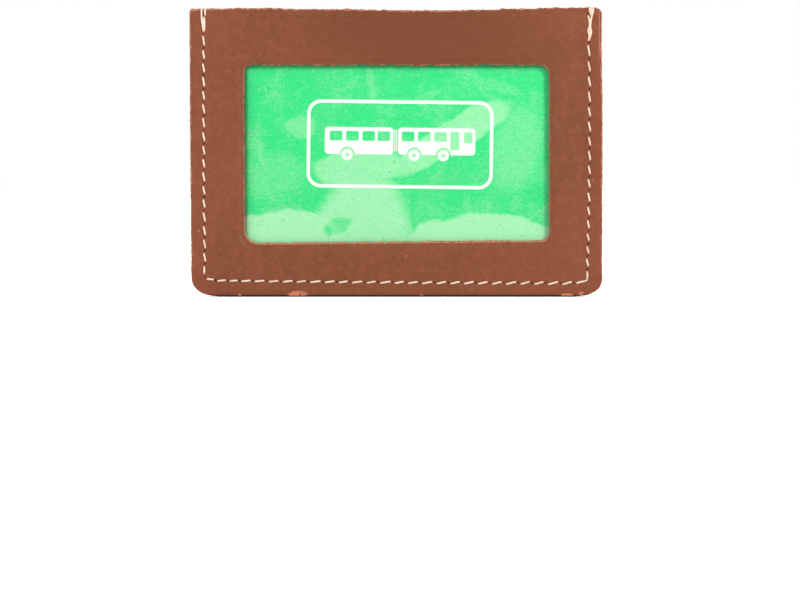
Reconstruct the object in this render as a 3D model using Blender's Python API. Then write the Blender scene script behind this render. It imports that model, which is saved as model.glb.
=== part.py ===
"""Bus pass holder: a stitched leather pocket with a clear window, and the pass card that slides into it.

Metres, +Z up. The holder stands upright, the way it is read: +X is right as seen from the front, -Y is the
front face and +Z points out of the pocket's mouth. The origin is at the middle of the bottom edge.

The layers, front to back, are the front leather with its window, the clear film, the card and the back
leather. Two threads lock the three fixed layers together along the left, bottom and right edges. The layers
lie close together along that seam and part by the card's thickness inside it.
"""

import math

import bmesh
import bpy
from mathutils import Vector

# The card: a standard ID-1 card
CARD_WIDTH = 0.0856
CARD_HEIGHT = 0.0540
CARD_THICKNESS = 0.00076
CARD_CORNER_RADIUS = 0.00318
CARD_CLEARANCE = 0.00012  # between each face of the card and the layer beside it
CARD_SIDE_PLAY = 0.0004  # from the card's side to where the pocket starts to close
CARD_BOTTOM_PLAY = 0.0003

# Margins of the pocket, from the cut edge inwards
SEAM_INSET = 0.0035  # cut edge to stitch line
SEAM_LAND = 0.0012  # stitch line to where the layers start to part
RAMP_WIDTH = 0.0021  # over which the layers part
MOUTH_MARGIN = 0.0089  # from the card's top edge up to the mouth

# Layers
LEATHER_THICKNESS = 0.0014
SEAM_CRUSH = 0.0002  # how much the stitches press each leather down
FILM_THICKNESS = 0.0003
LAYER_GAP = 0.00015  # between neighbouring layers where they lie together
FILM_SETBACK = 0.0006  # the film's edge inside the leather's edge

# Cut edges
BOTTOM_CORNER_RADIUS = 0.0045
LEFT_MOUTH_CORNER_RADIUS = 0.0009
RIGHT_MOUTH_CORNER_RADIUS = 0.0022
FILM_MOUTH_CORNER_RADIUS = 0.0008
LEATHER_CHAMFER = 0.0003
FILM_CHAMFER = 0.00005
POCKET_CORNER_RADIUS = 0.0025

# The window, as how far the leather laps over the card
WINDOW_SIDE_LAP = 0.0059
WINDOW_BOTTOM_LAP = 0.0060
WINDOW_TOP_LAP = 0.0053
WINDOW_CORNER_RADIUS = 0.0022
WINDOW_RIM_WIDTH = 0.0009  # the pressed-down rim around the window
WINDOW_RIM_DROP = 0.00035

# Thread and stitches
THREAD_RADIUS = 0.00028
PACKED_SHARE = 0.46  # the thread's radius where it is drawn tight in a hole
THREAD_LIFT = 0.00005  # between a stitch and the leather it lies on
STRAND_GAP = 0.00005  # between two strands in one hole
STITCH_PITCH = 0.0033
LEFT_END_DROP = 0.0021  # from the mouth down to the first hole of the left seam
RIGHT_END_DROP = 0.0044  # from the mouth down to the last hole of the right seam
DIVE_RUN = 0.00042  # along the seam, from a stitch's end to the middle of its hole
DIVE_DEPTH = 0.00055
HOOK_RISE = 0.00025
CORNER_HOLE_SHARE = 1.6  # a corner hole's size against the others
TAIL_RISE = 0.00075  # from an end hole's middle up to the other thread's tail
TAIL_LENGTH = 0.0006

CARD_TRAVEL_MARGIN = 0.002  # the card's clear distance above the mouth when it is out

ARC_STEPS = 6
WRAP_STEPS = 2
LEATHER_COLOUR = "#92563C"
CARD_COLOUR = "#66EE98"
FILM_COLOUR = "#F4F8F6"
THREAD_COLOUR = "#F1DDBB"

# Worked out from the sizes above
RAMP_INSET = SEAM_INSET + SEAM_LAND
POCKET_INSET = RAMP_INSET + RAMP_WIDTH
HALF_WIDTH = CARD_WIDTH / 2 + CARD_SIDE_PLAY + POCKET_INSET
CARD_BOTTOM = POCKET_INSET + CARD_BOTTOM_PLAY
HEIGHT = CARD_BOTTOM + CARD_HEIGHT + MOUTH_MARGIN

TOTAL_THICKNESS = 2 * LEATHER_THICKNESS + LAYER_GAP + FILM_THICKNESS + 2 * CARD_CLEARANCE + CARD_THICKNESS
POCKET_OUTER = TOTAL_THICKNESS / 2
POCKET_INNER = POCKET_OUTER - LEATHER_THICKNESS
FILM_FRONT = -POCKET_INNER + LAYER_GAP
FILM_BACK = FILM_FRONT + FILM_THICKNESS
CARD_FRONT = FILM_BACK + CARD_CLEARANCE
SEAM_FILM = FILM_THICKNESS / 2
SEAM_INNER = SEAM_FILM + LAYER_GAP
SEAM_OUTER = SEAM_INNER + LEATHER_THICKNESS - SEAM_CRUSH

PACKED_RADIUS = THREAD_RADIUS * PACKED_SHARE
LEG_OFFSET = 2 * PACKED_RADIUS + STRAND_GAP
HOOK_DEPTH = PACKED_RADIUS + STRAND_GAP / 2
HOOK_HALF = LEG_OFFSET - HOOK_DEPTH + STRAND_GAP / 2
HOLE_HALF = LEG_OFFSET + PACKED_RADIUS + 2 * STRAND_GAP
STITCH_LEVEL = SEAM_OUTER + THREAD_LIFT + THREAD_RADIUS
SUNK_LEVEL = STITCH_LEVEL - DIVE_DEPTH
WRAP_OFFSET = THREAD_RADIUS + 2 * STRAND_GAP
CARD_TRAVEL = HEIGHT - CARD_BOTTOM + CARD_TRAVEL_MARGIN

# Kinds of point in a layer. Each layer has a depth for every kind on both of its faces.
SEAM, SEAM_CUT, POCKET, POCKET_CUT, RIM = range(5)


def linear(hex_colour):
    """An sRGB hex colour as the linear RGBA that a shader takes."""
    channels = [int(hex_colour[i : i + 2], 16) / 255 for i in (1, 3, 5)]
    return [c / 12.92 if c <= 0.04045 else ((c + 0.055) / 1.055) ** 2.4 for c in channels] + [1.0]


def material(name, colour, roughness, alpha=1.0):
    made = bpy.data.materials.new(name)
    made.use_nodes = True
    shader = made.node_tree.nodes["Principled BSDF"]
    shader.inputs["Base Color"].default_value = linear(colour)
    shader.inputs["Roughness"].default_value = roughness
    shader.inputs["Metallic"].default_value = 0.0
    shader.inputs["Alpha"].default_value = alpha
    return made


def place(name, data, finish, parent, location=(0, 0, 0)):
    """Links a mesh or curve as one named object under its parent empty."""
    made = bpy.data.objects.new(name, data)
    data.materials.append(finish)
    bpy.context.scene.collection.objects.link(made)
    made.parent = parent
    made.location = location
    return made


def empty(name, parent=None):
    made = bpy.data.objects.new(name, None)
    bpy.context.scene.collection.objects.link(made)
    made.parent = parent
    return made


# Outlines in the X-Z plane


def arc(centre_x, centre_z, radius, start_degrees, end_degrees):
    points = []
    for step in range(ARC_STEPS + 1):
        angle = math.radians(start_degrees + (end_degrees - start_degrees) * step / ARC_STEPS)
        points.append((centre_x + radius * math.cos(angle), centre_z + radius * math.sin(angle)))
    return points


def cut_outline(inset, top, left_radius, right_radius):
    """A layer's cut edge, from its left mouth corner down, along the bottom and up to the right one."""
    side = HALF_WIDTH - inset
    foot = BOTTOM_CORNER_RADIUS - inset
    return (
        arc(left_radius - side, top - left_radius, left_radius, 90, 180)
        + arc(foot - side, inset + foot, foot, 180, 270)
        + arc(side - foot, inset + foot, foot, 270, 360)
        + arc(side - right_radius, top - right_radius, right_radius, 0, 90)
    )


def pocket_line(inset, top, radius):
    """A line parallel to the seam: down the left side, along the bottom and up the right side."""
    side = HALF_WIDTH - inset
    return (
        [(-side, top)]
        + arc(radius - side, inset + radius, radius, 180, 270)
        + arc(side - radius, inset + radius, radius, 270, 360)
        + [(side, top)]
    )


def rounded_rectangle(half_width, bottom, top, radius):
    return (
        arc(radius - half_width, bottom + radius, radius, 180, 270)
        + arc(half_width - radius, bottom + radius, radius, 270, 360)
        + arc(half_width - radius, top - radius, radius, 0, 90)
        + arc(radius - half_width, top - radius, radius, 90, 180)
    )


def window_outline(margin):
    """The window's cut edge, or with a margin a line that far outside it."""
    half = CARD_WIDTH / 2 - WINDOW_SIDE_LAP + margin
    bottom = CARD_BOTTOM + WINDOW_BOTTOM_LAP - margin
    top = CARD_BOTTOM + CARD_HEIGHT - WINDOW_TOP_LAP + margin
    return rounded_rectangle(half, bottom, top, WINDOW_CORNER_RADIUS + margin)


# Stitch holes


def evenly(start, end):
    """Hole places from start to just before end, at the pitch nearest the named one that fits whole stitches."""
    run = end - start
    count = max(1, round(run.length / STITCH_PITCH))
    return [start + run * i / count for i in range(count)]


def stitch_holes():
    """Each hole as its place in X-Z and the seam's directions into and out of it."""
    side = HALF_WIDTH - SEAM_INSET
    turns = [
        Vector((-side, HEIGHT - LEFT_END_DROP)),
        Vector((-side, SEAM_INSET)),
        Vector((side, SEAM_INSET)),
        Vector((side, HEIGHT - RIGHT_END_DROP)),
    ]
    spots = [spot for start, end in zip(turns, turns[1:]) for spot in evenly(start, end)] + turns[-1:]
    steps = [(end - start).normalized() for start, end in zip(spots, spots[1:])]
    return list(zip(spots, steps[:1] + steps, steps + steps[-1:]))


def inward(direction):
    """The direction at right angles to the seam that points into the pocket."""
    return Vector((-direction.y, direction.x))


def hole_outline(spot, arriving, leaving, mouth_reach):
    """A square hole lined up with the seam and longer on its mouth side by mouth_reach."""
    along = (arriving + leaving).normalized()
    half = HOLE_HALF
    if arriving.angle(leaving) > math.radians(45):
        half = HOLE_HALF * CORNER_HOLE_SHARE
    ahead = along * (half + (mouth_reach if along.y > 0 else 0))
    behind = along * (half + (mouth_reach if along.y < 0 else 0))
    side = inward(along) * half
    return [spot + ahead - side, spot + ahead + side, spot - behind + side, spot - behind - side]


def hole_outlines(holes, tail_reach):
    """All the holes of one layer. The two end ones are longer where the other thread's tail goes in."""
    reaches = [tail_reach] + [0] * (len(holes) - 2) + [tail_reach]
    return [hole_outline(*hole, reach) for hole, reach in zip(holes, reaches)]


# Layers


class Sheet:
    """A flat layer in the X-Z plane. Each point has a kind, from which both faces take their depth."""

    def __init__(self):
        self.bm = bmesh.new()
        self.kind = self.bm.verts.layers.int.new("kind")

    def line(self, points, kind):
        made = [self.bm.verts.new((x, 0, z)) for x, z in points]
        for vert in made:
            vert[self.kind] = kind
        return made

    def strip(self, first, second, closed=False):
        """Quads between two lines that have as many points each."""
        pairs = list(zip(first, second))
        following = pairs[1:] + (pairs[:1] if closed else [])
        for (a, b), (c, d) in zip(pairs, following):
            self.bm.faces.new((a, c, d, b))

    def fill(self, outer, *inner):
        """Fills the area inside the outer loop and outside the inner ones."""
        edges = []
        for loop in (outer, *inner):
            for a, b in zip(loop, loop[1:] + loop[:1]):
                edges.append(self.bm.edges.get((a, b)) or self.bm.edges.new((a, b)))
        bmesh.ops.triangle_fill(self.bm, use_beauty=True, edges=edges, normal=(0, -1, 0))

    def mesh(self, name, near, far):
        """Copies the sheet for its far face, sets both faces at their depths and closes the walls."""
        copied = bmesh.ops.extrude_face_region(self.bm, geom=self.bm.faces[:], use_keep_orig=True)["geom"]
        far_verts = {item for item in copied if isinstance(item, bmesh.types.BMVert)}
        for vert in self.bm.verts:
            depths = far if vert in far_verts else near
            vert.co.y = depths[vert[self.kind]]
        bmesh.ops.recalc_face_normals(self.bm, faces=self.bm.faces[:])
        made = bpy.data.meshes.new(name)
        self.bm.to_mesh(made)
        self.bm.free()
        return made


def mouth_line(sheet, top, kinds):
    """The points where the mouth crosses the ramps, from right to left."""
    foot = HALF_WIDTH - RAMP_INSET
    head = HALF_WIDTH - POCKET_INSET
    seam_kind, pocket_kind = kinds
    spots = [(foot, seam_kind), (head, pocket_kind), (-head, pocket_kind), (-foot, seam_kind)]
    return [sheet.line([(x, top)], kind)[0] for x, kind in spots]


def layer(inset, top, mouth_radii, chamfer, holes, window):
    """One pocket layer: a seam margin with holes, a ramp and a field, with a window or without."""
    sheet = Sheet()
    left, right = mouth_radii
    cut = sheet.line(cut_outline(inset, top, left, right), SEAM_CUT)
    cut += mouth_line(sheet, top, (SEAM_CUT, POCKET_CUT))
    edge_points = cut_outline(inset + chamfer, top - chamfer, left - chamfer, right - chamfer)
    edge = sheet.line(edge_points, SEAM)
    mouth = mouth_line(sheet, top - chamfer, (SEAM, POCKET))
    sheet.strip(cut, edge + mouth, closed=True)
    foot_points = pocket_line(RAMP_INSET, top - chamfer, POCKET_CORNER_RADIUS + RAMP_WIDTH)
    head_points = pocket_line(POCKET_INSET, top - chamfer, POCKET_CORNER_RADIUS)
    foot = mouth[3:] + sheet.line(foot_points[1:-1], SEAM) + mouth[:1]
    head = mouth[2:3] + sheet.line(head_points[1:-1], POCKET) + mouth[1:2]
    sheet.fill(edge + foot[::-1], *[sheet.line(hole, SEAM) for hole in holes])
    sheet.strip(foot, head)
    if window:
        rim = sheet.line(window_outline(WINDOW_RIM_WIDTH), POCKET)
        sheet.fill(head, rim)
        sheet.strip(rim, sheet.line(window_outline(0), RIM), closed=True)
    else:
        sheet.fill(head)
    return sheet


def leather_panel(name, finish, parent, holes, side, window):
    """side is -1 for the front leather and 1 for the back one."""
    radii = (LEFT_MOUTH_CORNER_RADIUS, RIGHT_MOUTH_CORNER_RADIUS)
    sheet = layer(0, HEIGHT, radii, LEATHER_CHAMFER, hole_outlines(holes, TAIL_RISE), window)
    near = {SEAM: SEAM_INNER, SEAM_CUT: SEAM_INNER, POCKET: POCKET_INNER, POCKET_CUT: POCKET_INNER}
    far = {
        SEAM: SEAM_OUTER,
        SEAM_CUT: SEAM_OUTER - LEATHER_CHAMFER,
        POCKET: POCKET_OUTER,
        POCKET_CUT: POCKET_OUTER - LEATHER_CHAMFER,
    }
    near[RIM] = POCKET_INNER
    far[RIM] = POCKET_OUTER - WINDOW_RIM_DROP
    near = {kind: side * depth for kind, depth in near.items()}
    far = {kind: side * depth for kind, depth in far.items()}
    return place(name, sheet.mesh(name, near, far), finish, parent)


def window_film(finish, parent, holes):
    top = HEIGHT - FILM_SETBACK
    radii = (FILM_MOUTH_CORNER_RADIUS, FILM_MOUTH_CORNER_RADIUS)
    sheet = layer(FILM_SETBACK, top, radii, FILM_CHAMFER, hole_outlines(holes, 0), False)
    near = {SEAM: SEAM_FILM, SEAM_CUT: SEAM_FILM, POCKET: FILM_BACK, POCKET_CUT: FILM_BACK}
    far = {
        SEAM: -SEAM_FILM,
        SEAM_CUT: FILM_CHAMFER - SEAM_FILM,
        POCKET: FILM_FRONT,
        POCKET_CUT: FILM_FRONT + FILM_CHAMFER,
    }
    return place("window_film", sheet.mesh("window_film", near, far), finish, parent)


def pass_card(finish, parent):
    """A plain rounded card. Its origin is at the middle of its bottom edge, on the line it slides along."""
    sheet = Sheet()
    sheet.fill(sheet.line(rounded_rectangle(CARD_WIDTH / 2, 0, CARD_HEIGHT, CARD_CORNER_RADIUS), POCKET))
    mesh = sheet.mesh("pass_card", {POCKET: 0}, {POCKET: CARD_THICKNESS})
    return place("pass_card", mesh, finish, parent, (0, CARD_FRONT, CARD_BOTTOM))


# Threads


def strand(spot, depth, share=1.0):
    """A point of a thread: a place on the seam, how far back it is and its share of the thread's radius."""
    return (spot.x, depth, spot.y, share)


def needle_hole(spot, arriving, leaving):
    """The front thread in one hole: in on the inner side, round behind the back thread, out on the outer."""
    middle = inward((arriving + leaving).normalized())
    inner = spot + middle * LEG_OFFSET
    outer = spot - middle * LEG_OFFSET
    return [
        strand(inner - arriving * DIVE_RUN, -STITCH_LEVEL),
        strand(inner, -SUNK_LEVEL, PACKED_SHARE),
        strand(inner, HOOK_DEPTH - HOOK_RISE, PACKED_SHARE),
        strand(spot + middle * HOOK_HALF, HOOK_DEPTH, PACKED_SHARE),
        strand(spot - middle * HOOK_HALF, HOOK_DEPTH, PACKED_SHARE),
        strand(outer, HOOK_DEPTH - HOOK_RISE, PACKED_SHARE),
        strand(outer, -SUNK_LEVEL, PACKED_SHARE),
        strand(outer + leaving * DIVE_RUN, -STITCH_LEVEL),
    ]


def bobbin_hole(spot, arriving, leaving, swap):
    """The back thread in one hole: its legs turn into line with the seam and hook over the front thread.
    swap is 1 to go in on the inner side and out on the outer, and -1 for the other way round."""
    along = (arriving + leaving).normalized()
    entry = spot + inward(along) * LEG_OFFSET * swap
    leave = spot - inward(along) * LEG_OFFSET * swap
    return [
        strand(entry - arriving * DIVE_RUN, STITCH_LEVEL),
        strand(entry, SUNK_LEVEL, PACKED_SHARE),
        strand(spot - along * LEG_OFFSET, HOOK_RISE - HOOK_DEPTH, PACKED_SHARE),
        strand(spot - along * HOOK_HALF, -HOOK_DEPTH, PACKED_SHARE),
        strand(spot + along * HOOK_HALF, -HOOK_DEPTH, PACKED_SHARE),
        strand(spot + along * LEG_OFFSET, HOOK_RISE - HOOK_DEPTH, PACKED_SHARE),
        strand(leave, SUNK_LEVEL, PACKED_SHARE),
        strand(leave + leaving * DIVE_RUN, STITCH_LEVEL),
    ]


def mouth_wrap(spot, sideways, tail_face):
    """One end of a thread: its tail in the far leather's end hole, then up and over the mouth's edge.
    sideways is 1 or -1 for the strand's side of the hole, and tail_face -1 or 1 for front or back."""
    tail = Vector((spot.x + sideways * LEG_OFFSET, spot.y + TAIL_RISE))
    rise = Vector((spot.x + sideways * WRAP_OFFSET, tail.y + DIVE_RUN))
    radius = STITCH_LEVEL - SEAM_OUTER
    points = [
        strand(tail, tail_face * (SUNK_LEVEL - TAIL_LENGTH), PACKED_SHARE),
        strand(tail, tail_face * SUNK_LEVEL, PACKED_SHARE),
        strand(rise, tail_face * STITCH_LEVEL),
    ]
    quarter = [math.radians(90) * step / WRAP_STEPS for step in range(WRAP_STEPS + 1)]
    bends = [(SEAM_OUTER + radius * math.cos(turn), HEIGHT + radius * math.sin(turn)) for turn in quarter]
    points += [strand(Vector((rise.x, z)), tail_face * y) for y, z in bends]
    points += [strand(Vector((rise.x, z)), -tail_face * y) for y, z in reversed(bends)]
    return points


def thread(name, finish, parent, path):
    curve = bpy.data.curves.new(name, "CURVE")
    curve.dimensions = "3D"
    curve.bevel_depth = THREAD_RADIUS
    curve.bevel_resolution = 0
    curve.use_fill_caps = True
    spline = curve.splines.new("POLY")
    spline.points.add(len(path) - 1)
    for point, (x, y, z, share) in zip(spline.points, path):
        point.co = (x, y, z, 1)
        point.radius = share
    return place(name, curve, finish, parent)


def needle_thread(finish, parent, holes):
    """The front thread. Both of its ends go over the mouth to tails in the back leather."""
    path = mouth_wrap(holes[0][0], 1, 1)
    for hole in holes:
        path += needle_hole(*hole)
    path += reversed(mouth_wrap(holes[-1][0], 1, 1))
    return thread("needle_thread", finish, parent, path)


def bobbin_thread(finish, parent, holes):
    """The back thread. In the end holes its legs change sides, since its wraps lie beside the front one's."""
    path = mouth_wrap(holes[0][0], -1, -1)
    swaps = [-1] + [1] * (len(holes) - 2) + [-1]
    for hole, swap in zip(holes, swaps):
        path += bobbin_hole(*hole, swap)
    path += reversed(mouth_wrap(holes[-1][0], -1, -1))
    return thread("bobbin_thread", finish, parent, path)


def main():
    for obj in list(bpy.data.objects):
        bpy.data.objects.remove(obj)
    leather = material("leather", LEATHER_COLOUR, 0.6)
    film = material("clear_film", FILM_COLOUR, 0.1, 0.3)
    card = material("printed_card", CARD_COLOUR, 0.5)
    cotton = material("waxed_thread", THREAD_COLOUR, 0.8)
    holder = empty("holder")
    carried = empty("carried_pass", holder)
    holes = stitch_holes()
    leather_panel("front_panel", leather, holder, holes, -1, True)
    window_film(film, holder, holes)
    pass_card(card, carried)
    leather_panel("back_panel", leather, holder, holes, 1, False)
    needle_thread(cotton, holder, holes)
    bobbin_thread(cotton, holder, holes)
    print(f"holder {2 * HALF_WIDTH:.4f} x {TOTAL_THICKNESS:.5f} x {HEIGHT:.4f} m, {len(holes)} stitch holes")
    print(f"the card slides {CARD_TRAVEL:.4f} m to clear the mouth")


main()
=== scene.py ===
"""The looks of a bus pass holder: two stitched leathers, a clear window and a green card.

It runs as a script and is laid out as an add-on. Metres, +Z up, +X to the right from the window side, and -Y
out of the window side. Each operator makes one piece, or a group of like pieces, around the packed solids.
"""

import math
import random
from functools import partial

import bmesh
import bpy
import numpy as np
from bpy.props import FloatProperty, FloatVectorProperty, IntProperty, PointerProperty
from mathutils import Matrix, Vector, noise


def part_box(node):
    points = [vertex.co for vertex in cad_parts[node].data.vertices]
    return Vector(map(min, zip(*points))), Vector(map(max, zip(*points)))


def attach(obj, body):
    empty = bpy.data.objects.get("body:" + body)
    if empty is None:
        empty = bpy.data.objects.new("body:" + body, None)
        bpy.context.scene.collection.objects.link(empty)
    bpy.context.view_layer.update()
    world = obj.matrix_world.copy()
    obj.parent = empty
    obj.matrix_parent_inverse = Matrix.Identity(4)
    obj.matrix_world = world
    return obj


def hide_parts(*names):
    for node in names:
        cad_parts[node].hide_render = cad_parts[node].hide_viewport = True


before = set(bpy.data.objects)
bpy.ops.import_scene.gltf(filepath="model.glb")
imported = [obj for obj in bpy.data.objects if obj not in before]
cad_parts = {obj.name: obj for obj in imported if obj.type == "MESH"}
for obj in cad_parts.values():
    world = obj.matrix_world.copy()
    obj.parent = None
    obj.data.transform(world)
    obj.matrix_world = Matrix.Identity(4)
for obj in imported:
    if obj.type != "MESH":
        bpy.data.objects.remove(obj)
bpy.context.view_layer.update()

bl_info = {
    "name": "Pass Holder Looks",
    "version": (1, 0, 0),
    "blender": (4, 5, 0),
    "location": "View3D > Sidebar > Pass Holder",
    "description": "Dresses a stitched leather pass holder: hide, thread, film, printed card and stage",
    "category": "Object",
}

MM = 0.001
PER_MM = 1000
FRONT, BACK = -1, 1

# Places that the solids give
HALF_WIDTH, _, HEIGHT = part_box("front_panel")[1]
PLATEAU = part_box("back_panel")[1].y
FILM_LOW, FILM_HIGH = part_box("window_film")
CARD_LOW, CARD_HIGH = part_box("pass_card")

# Corner radii, from the bottom right one round to the bottom left one
OUTLINE_RADII = np.array([4.3, 1.5, 0.9, 4.9]) * MM
WINDOW_RADII = np.array([2.0, 2.2, 2.5, 3.6]) * MM
WINDOW_RADIUS = 2.4 * MM
WEAR_RADIUS = 3.2 * MM
CARD_RADIUS = 3.18 * MM
# How far round the window its pressed lip reaches
LIP = 1.8 * MM
# The slits are turned against the seam, as the needle's cutting point is
SLIT_TURN = -38
# Torn places at the bottom edge: middle, half width and height
CHIPS = MM * np.array(
    ((-23.7, 2.9, 1.5), (41.6, 1.9, 0.95), (44.9, 0.7, 1.5), (-38.0, 0.8, 0.8), (6.0, 0.9, 0.75))
)
FILM_THICKNESS = 0.3 * MM
# Turns what is made lying flat to face -Y
UPRIGHT = (math.radians(90), 0, 0)
# Each random source and noise has a number of its own
HOLE_SEED, SLIT_SEED, FIBRE_SEED = 11, 7, 23
FRONT_SEED, BACK_SEED, CHIP_SEED, FRINGE_SEED, FILM_SEED = 3, 40, 77, 78, 5


def linear(hex_colour):
    """An sRGB hex colour as linear RGBA."""
    channels = [int(hex_colour[i : i + 2], 16) / 255 for i in (1, 3, 5)]
    return [c / 12.92 if c <= 0.04045 else ((c + 0.055) / 1.055) ** 2.4 for c in channels] + [1.0]


def length(name, description, millimetres):
    default = millimetres * MM
    return FloatProperty(name=name, description=description, default=default, unit="LENGTH", precision=5)


def share(name, description, default):
    return FloatProperty(name=name, description=description, default=default, min=0, max=1, subtype="FACTOR")


def power(name, description, watts):
    return FloatProperty(name=name, description=description, default=watts, unit="POWER")


def colour(name, description, hex_colour):
    default = linear(hex_colour)
    return FloatVectorProperty(
        name=name, description=description, default=default, size=4, min=0, max=1, subtype="COLOR"
    )


class HideValues(bpy.types.PropertyGroup):
    """Sizes and colours of the two leathers."""

    mesh_step: length("Mesh step", "Distance between neighbouring points along the leather's edge", 0.32)
    seam_face: length("Seam face", "From the middle of the holder to a leather's face along the seam", 1.50)
    seam_inner: length("Seam inner face", "Half the space between the two leathers at the seam", 0.30)
    pocket_inner: length("Pocket inner face", "Half the space between the two leathers in the pocket", 0.725)
    ramp_foot: length("Ramp foot", "From the cut edge to where the leather starts to rise over the card", 4.2)
    ramp_head: length("Ramp head", "From the cut edge to where the leather is level again", 11.5)
    pocket_head: length("Pocket head", "From the cut edge to where the pocket is at its full depth", 6.8)
    ramp_turn: length("Ramp turn", "Radius of the rise round the bottom corners, at the cut edge", 9.3)
    edge_crown: length("Edge crown", "How far the strip outside the seam swells", 0.10)
    edge_wander: length("Edge wander", "How far the cut edge strays over a few millimetres", 0.10)
    edge_nubs: length("Edge nubs", "How far torn fibres stand out of the cut edge", 0.12)
    mouth_sag: length("Mouth sag", "How far the mouth's edge has worn down in its middle", 0.48)
    window_side: length("Window side", "Half the window's width", 36.85)
    window_bottom: length("Window bottom", "Height of the window's lower edge", 13.4)
    window_top: length("Window top", "Height of the window's upper edge", 56.2)
    window_tilt: share("Window tilt", "How far the window's lower edge rises along its length", 0.0095)
    rim_width: length("Rim width", "From the window's edge to the pressed line round it", 1.15)
    rim_drop: length("Rim drop", "How far the window's edge is pressed down", 0.34)
    window_slope: length("Window slope", "How far the cut round the window slants in", 0.46)
    groove: length("Groove", "How deep a stitch presses into the leather", 0.10)
    dimple: length("Dimple", "How deep the leather sinks round a stitch hole", 0.16)
    crease: length("Crease", "Depth of the line rubbed in along the cut edge", 0.08)
    slit_length: length("Slit length", "Length of the slit that the needle cut", 0.84)
    slit_width: length("Slit width", "Width of the slit that the needle cut", 0.40)
    brown: colour("Brown", "The dyed grain side", "#854628")
    deep_brown: colour("Deep brown", "Where the dye lies darker", "#794023")
    red_brown: colour("Red brown", "Where the hide took the dye redder", "#8F4D32")
    # Painted shade: the darker brown painted over the top middle, above the window
    painted_top_shade: colour("Handled", "Where handling has darkened it", "#6C3715")
    raw: colour("Raw edge", "Torn fibres of a cut edge", "#C97F5E")
    raw_light: colour("Light fibres", "The palest fibres of a cut edge", "#EEB294")
    chip: colour("Chip", "Fresh hide where the bottom edge is chipped", "#EC8A64")
    # Painted shade: the near black painted on the lowest half millimetre of the bottom edge, where it meets
    # the floor
    dirt_and_shade: colour("Stained edge", "The bottom edge, dark from standing", "#340F03")
    flesh: colour("Flesh side", "The napped inner side", "#8A563C")


class ThreadValues(bpy.types.PropertyGroup):
    """Sizes and colours of the sewing thread."""

    width: length("Width", "Thickness of the thread", 0.49)
    twist: length("Twist", "Length of one turn of the plies", 1.35)
    plies: IntProperty(name="Plies", description="Yarns that are twisted together", default=3, min=2, max=4)
    left_inset: length("Left inset", "From the left edge to the seam", 3.69)
    bottom_inset: length("Bottom inset", "From the bottom edge to the seam", 3.56)
    right_inset: length("Right inset", "From the right edge to the seam", 3.56)
    slant: length("Slant", "How far a stitch's ends lie off the seam line, to each side", 0.155)
    end_gap: length("End gap", "From the middle of a hole to where a stitch comes out of the leather", 0.61)
    unevenness: length("Unevenness", "How far the holes stray from even steps", 0.10)
    sink: length("Sink", "How far over the leather the middle of the thread runs", 0.07)
    cream: colour("Cream", "The thread's own colour", "#FFE7CB")
    light: colour("Light fibres", "The thread's palest fibres", "#FFF8EA")


class FilmValues(bpy.types.PropertyGroup):
    """Sizes and colours of the clear window film."""

    haze: share("Haze", "How milky the film is all over", 0.005)
    patch_haze: share("Patch haze", "How milky its cloudy patches are", 0.02)
    # Painted shade: how dark the film is painted along the window's left edge, and less along its top
    edge_shade_strength: share("Grime", "How dark the dirt is that gathers along the window's left edge", 0.40)
    tint: colour("Tint", "Colour of the haze", "#F4F8F0")


class CardValues(bpy.types.PropertyGroup):
    """Sizes and colours of the card."""

    green: colour("Green", "The printed ground", "#28E284")
    # Light green is also the colour of the painted reflection patches
    light_green: colour("Light green", "The palest patches of the ground", "#AFF3BD")
    speck_green: colour("Speck green", "Darker specks in the ground", "#10CE6A")
    ink: colour("White ink", "The frame and the pictogram", "#F8F8F6")
    edge: colour("Card edge", "The white core at the card's edge", "#E9F4EA")
    frame_width: length("Frame width", "Outer width of the printed frame", 45.2)
    frame_height: length("Frame height", "Outer height of the printed frame", 21.4)
    frame_stroke: length("Frame stroke", "Width of the frame's line", 0.86)
    frame_radius: length("Frame radius", "Outer radius of the frame's corners", 3.5)
    frame_centre_x: length("Frame centre X", "The frame's middle, to the right of the holder's", 0.97)
    frame_centre_z: length("Frame centre Z", "Height of the frame's middle", 36.95)
    bus_width: length("Bus width", "Length of the pictogram", 36.5)
    print_turn: FloatProperty(
        name="Print turn",
        description="How far the print is turned on the card",
        default=math.radians(0.7),
        subtype="ANGLE",
    )


class FoilValues(bpy.types.PropertyGroup):
    """Size and colour of the foil mark on the back."""

    silver: colour("Silver", "The hot-pressed foil", "#CFC3BF")
    bus_width: length("Mark width", "Length of the mark", 23.0)
    height: length("Mark height", "Height of the mark's middle above the bottom edge", 20.2)


class StageValues(bpy.types.PropertyGroup):
    """The floor, the lights and the camera."""

    floor_radius: length("Floor radius", "Radius of the floor", 3000)
    floor: colour("Floor", "The floor's paint", "#E8E8E8")
    key_watts: power("Key light", "Power of the key light", 18.6)
    fill_watts: power("Fill light", "Power of the fill light", 7.2)
    back_watts: power("Back light", "Power of the light behind", 16)
    surround: FloatProperty(name="Surround", description="Brightness of the light all round", default=0.52)
    shadow_reach: length("Shadow reach", "How far round the holder the floor keeps its shadow", 8)
    lens: FloatProperty(name="Lens", description="Focal length in mm", default=200, unit="CAMERA")
    distance: length("Camera distance", "From the camera to the holder", 1078.9)
    aim_x: length("Aim X", "Where the middle of the picture lies on the holder's plane", 0.97)
    aim_z: length("Aim Z", "Height of the middle of the picture on the holder's plane", -0.82)


def values(name):
    return getattr(bpy.context.scene, name)


# Small tools


def activate(obj):
    bpy.ops.object.select_all(action="DESELECT")
    obj.select_set(True)
    bpy.context.view_layer.objects.active = obj
    return obj


def settle(obj):
    """Puts an object's place into its mesh."""
    activate(obj)
    bpy.ops.object.transform_apply(location=True, rotation=True, scale=True)
    return obj


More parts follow.
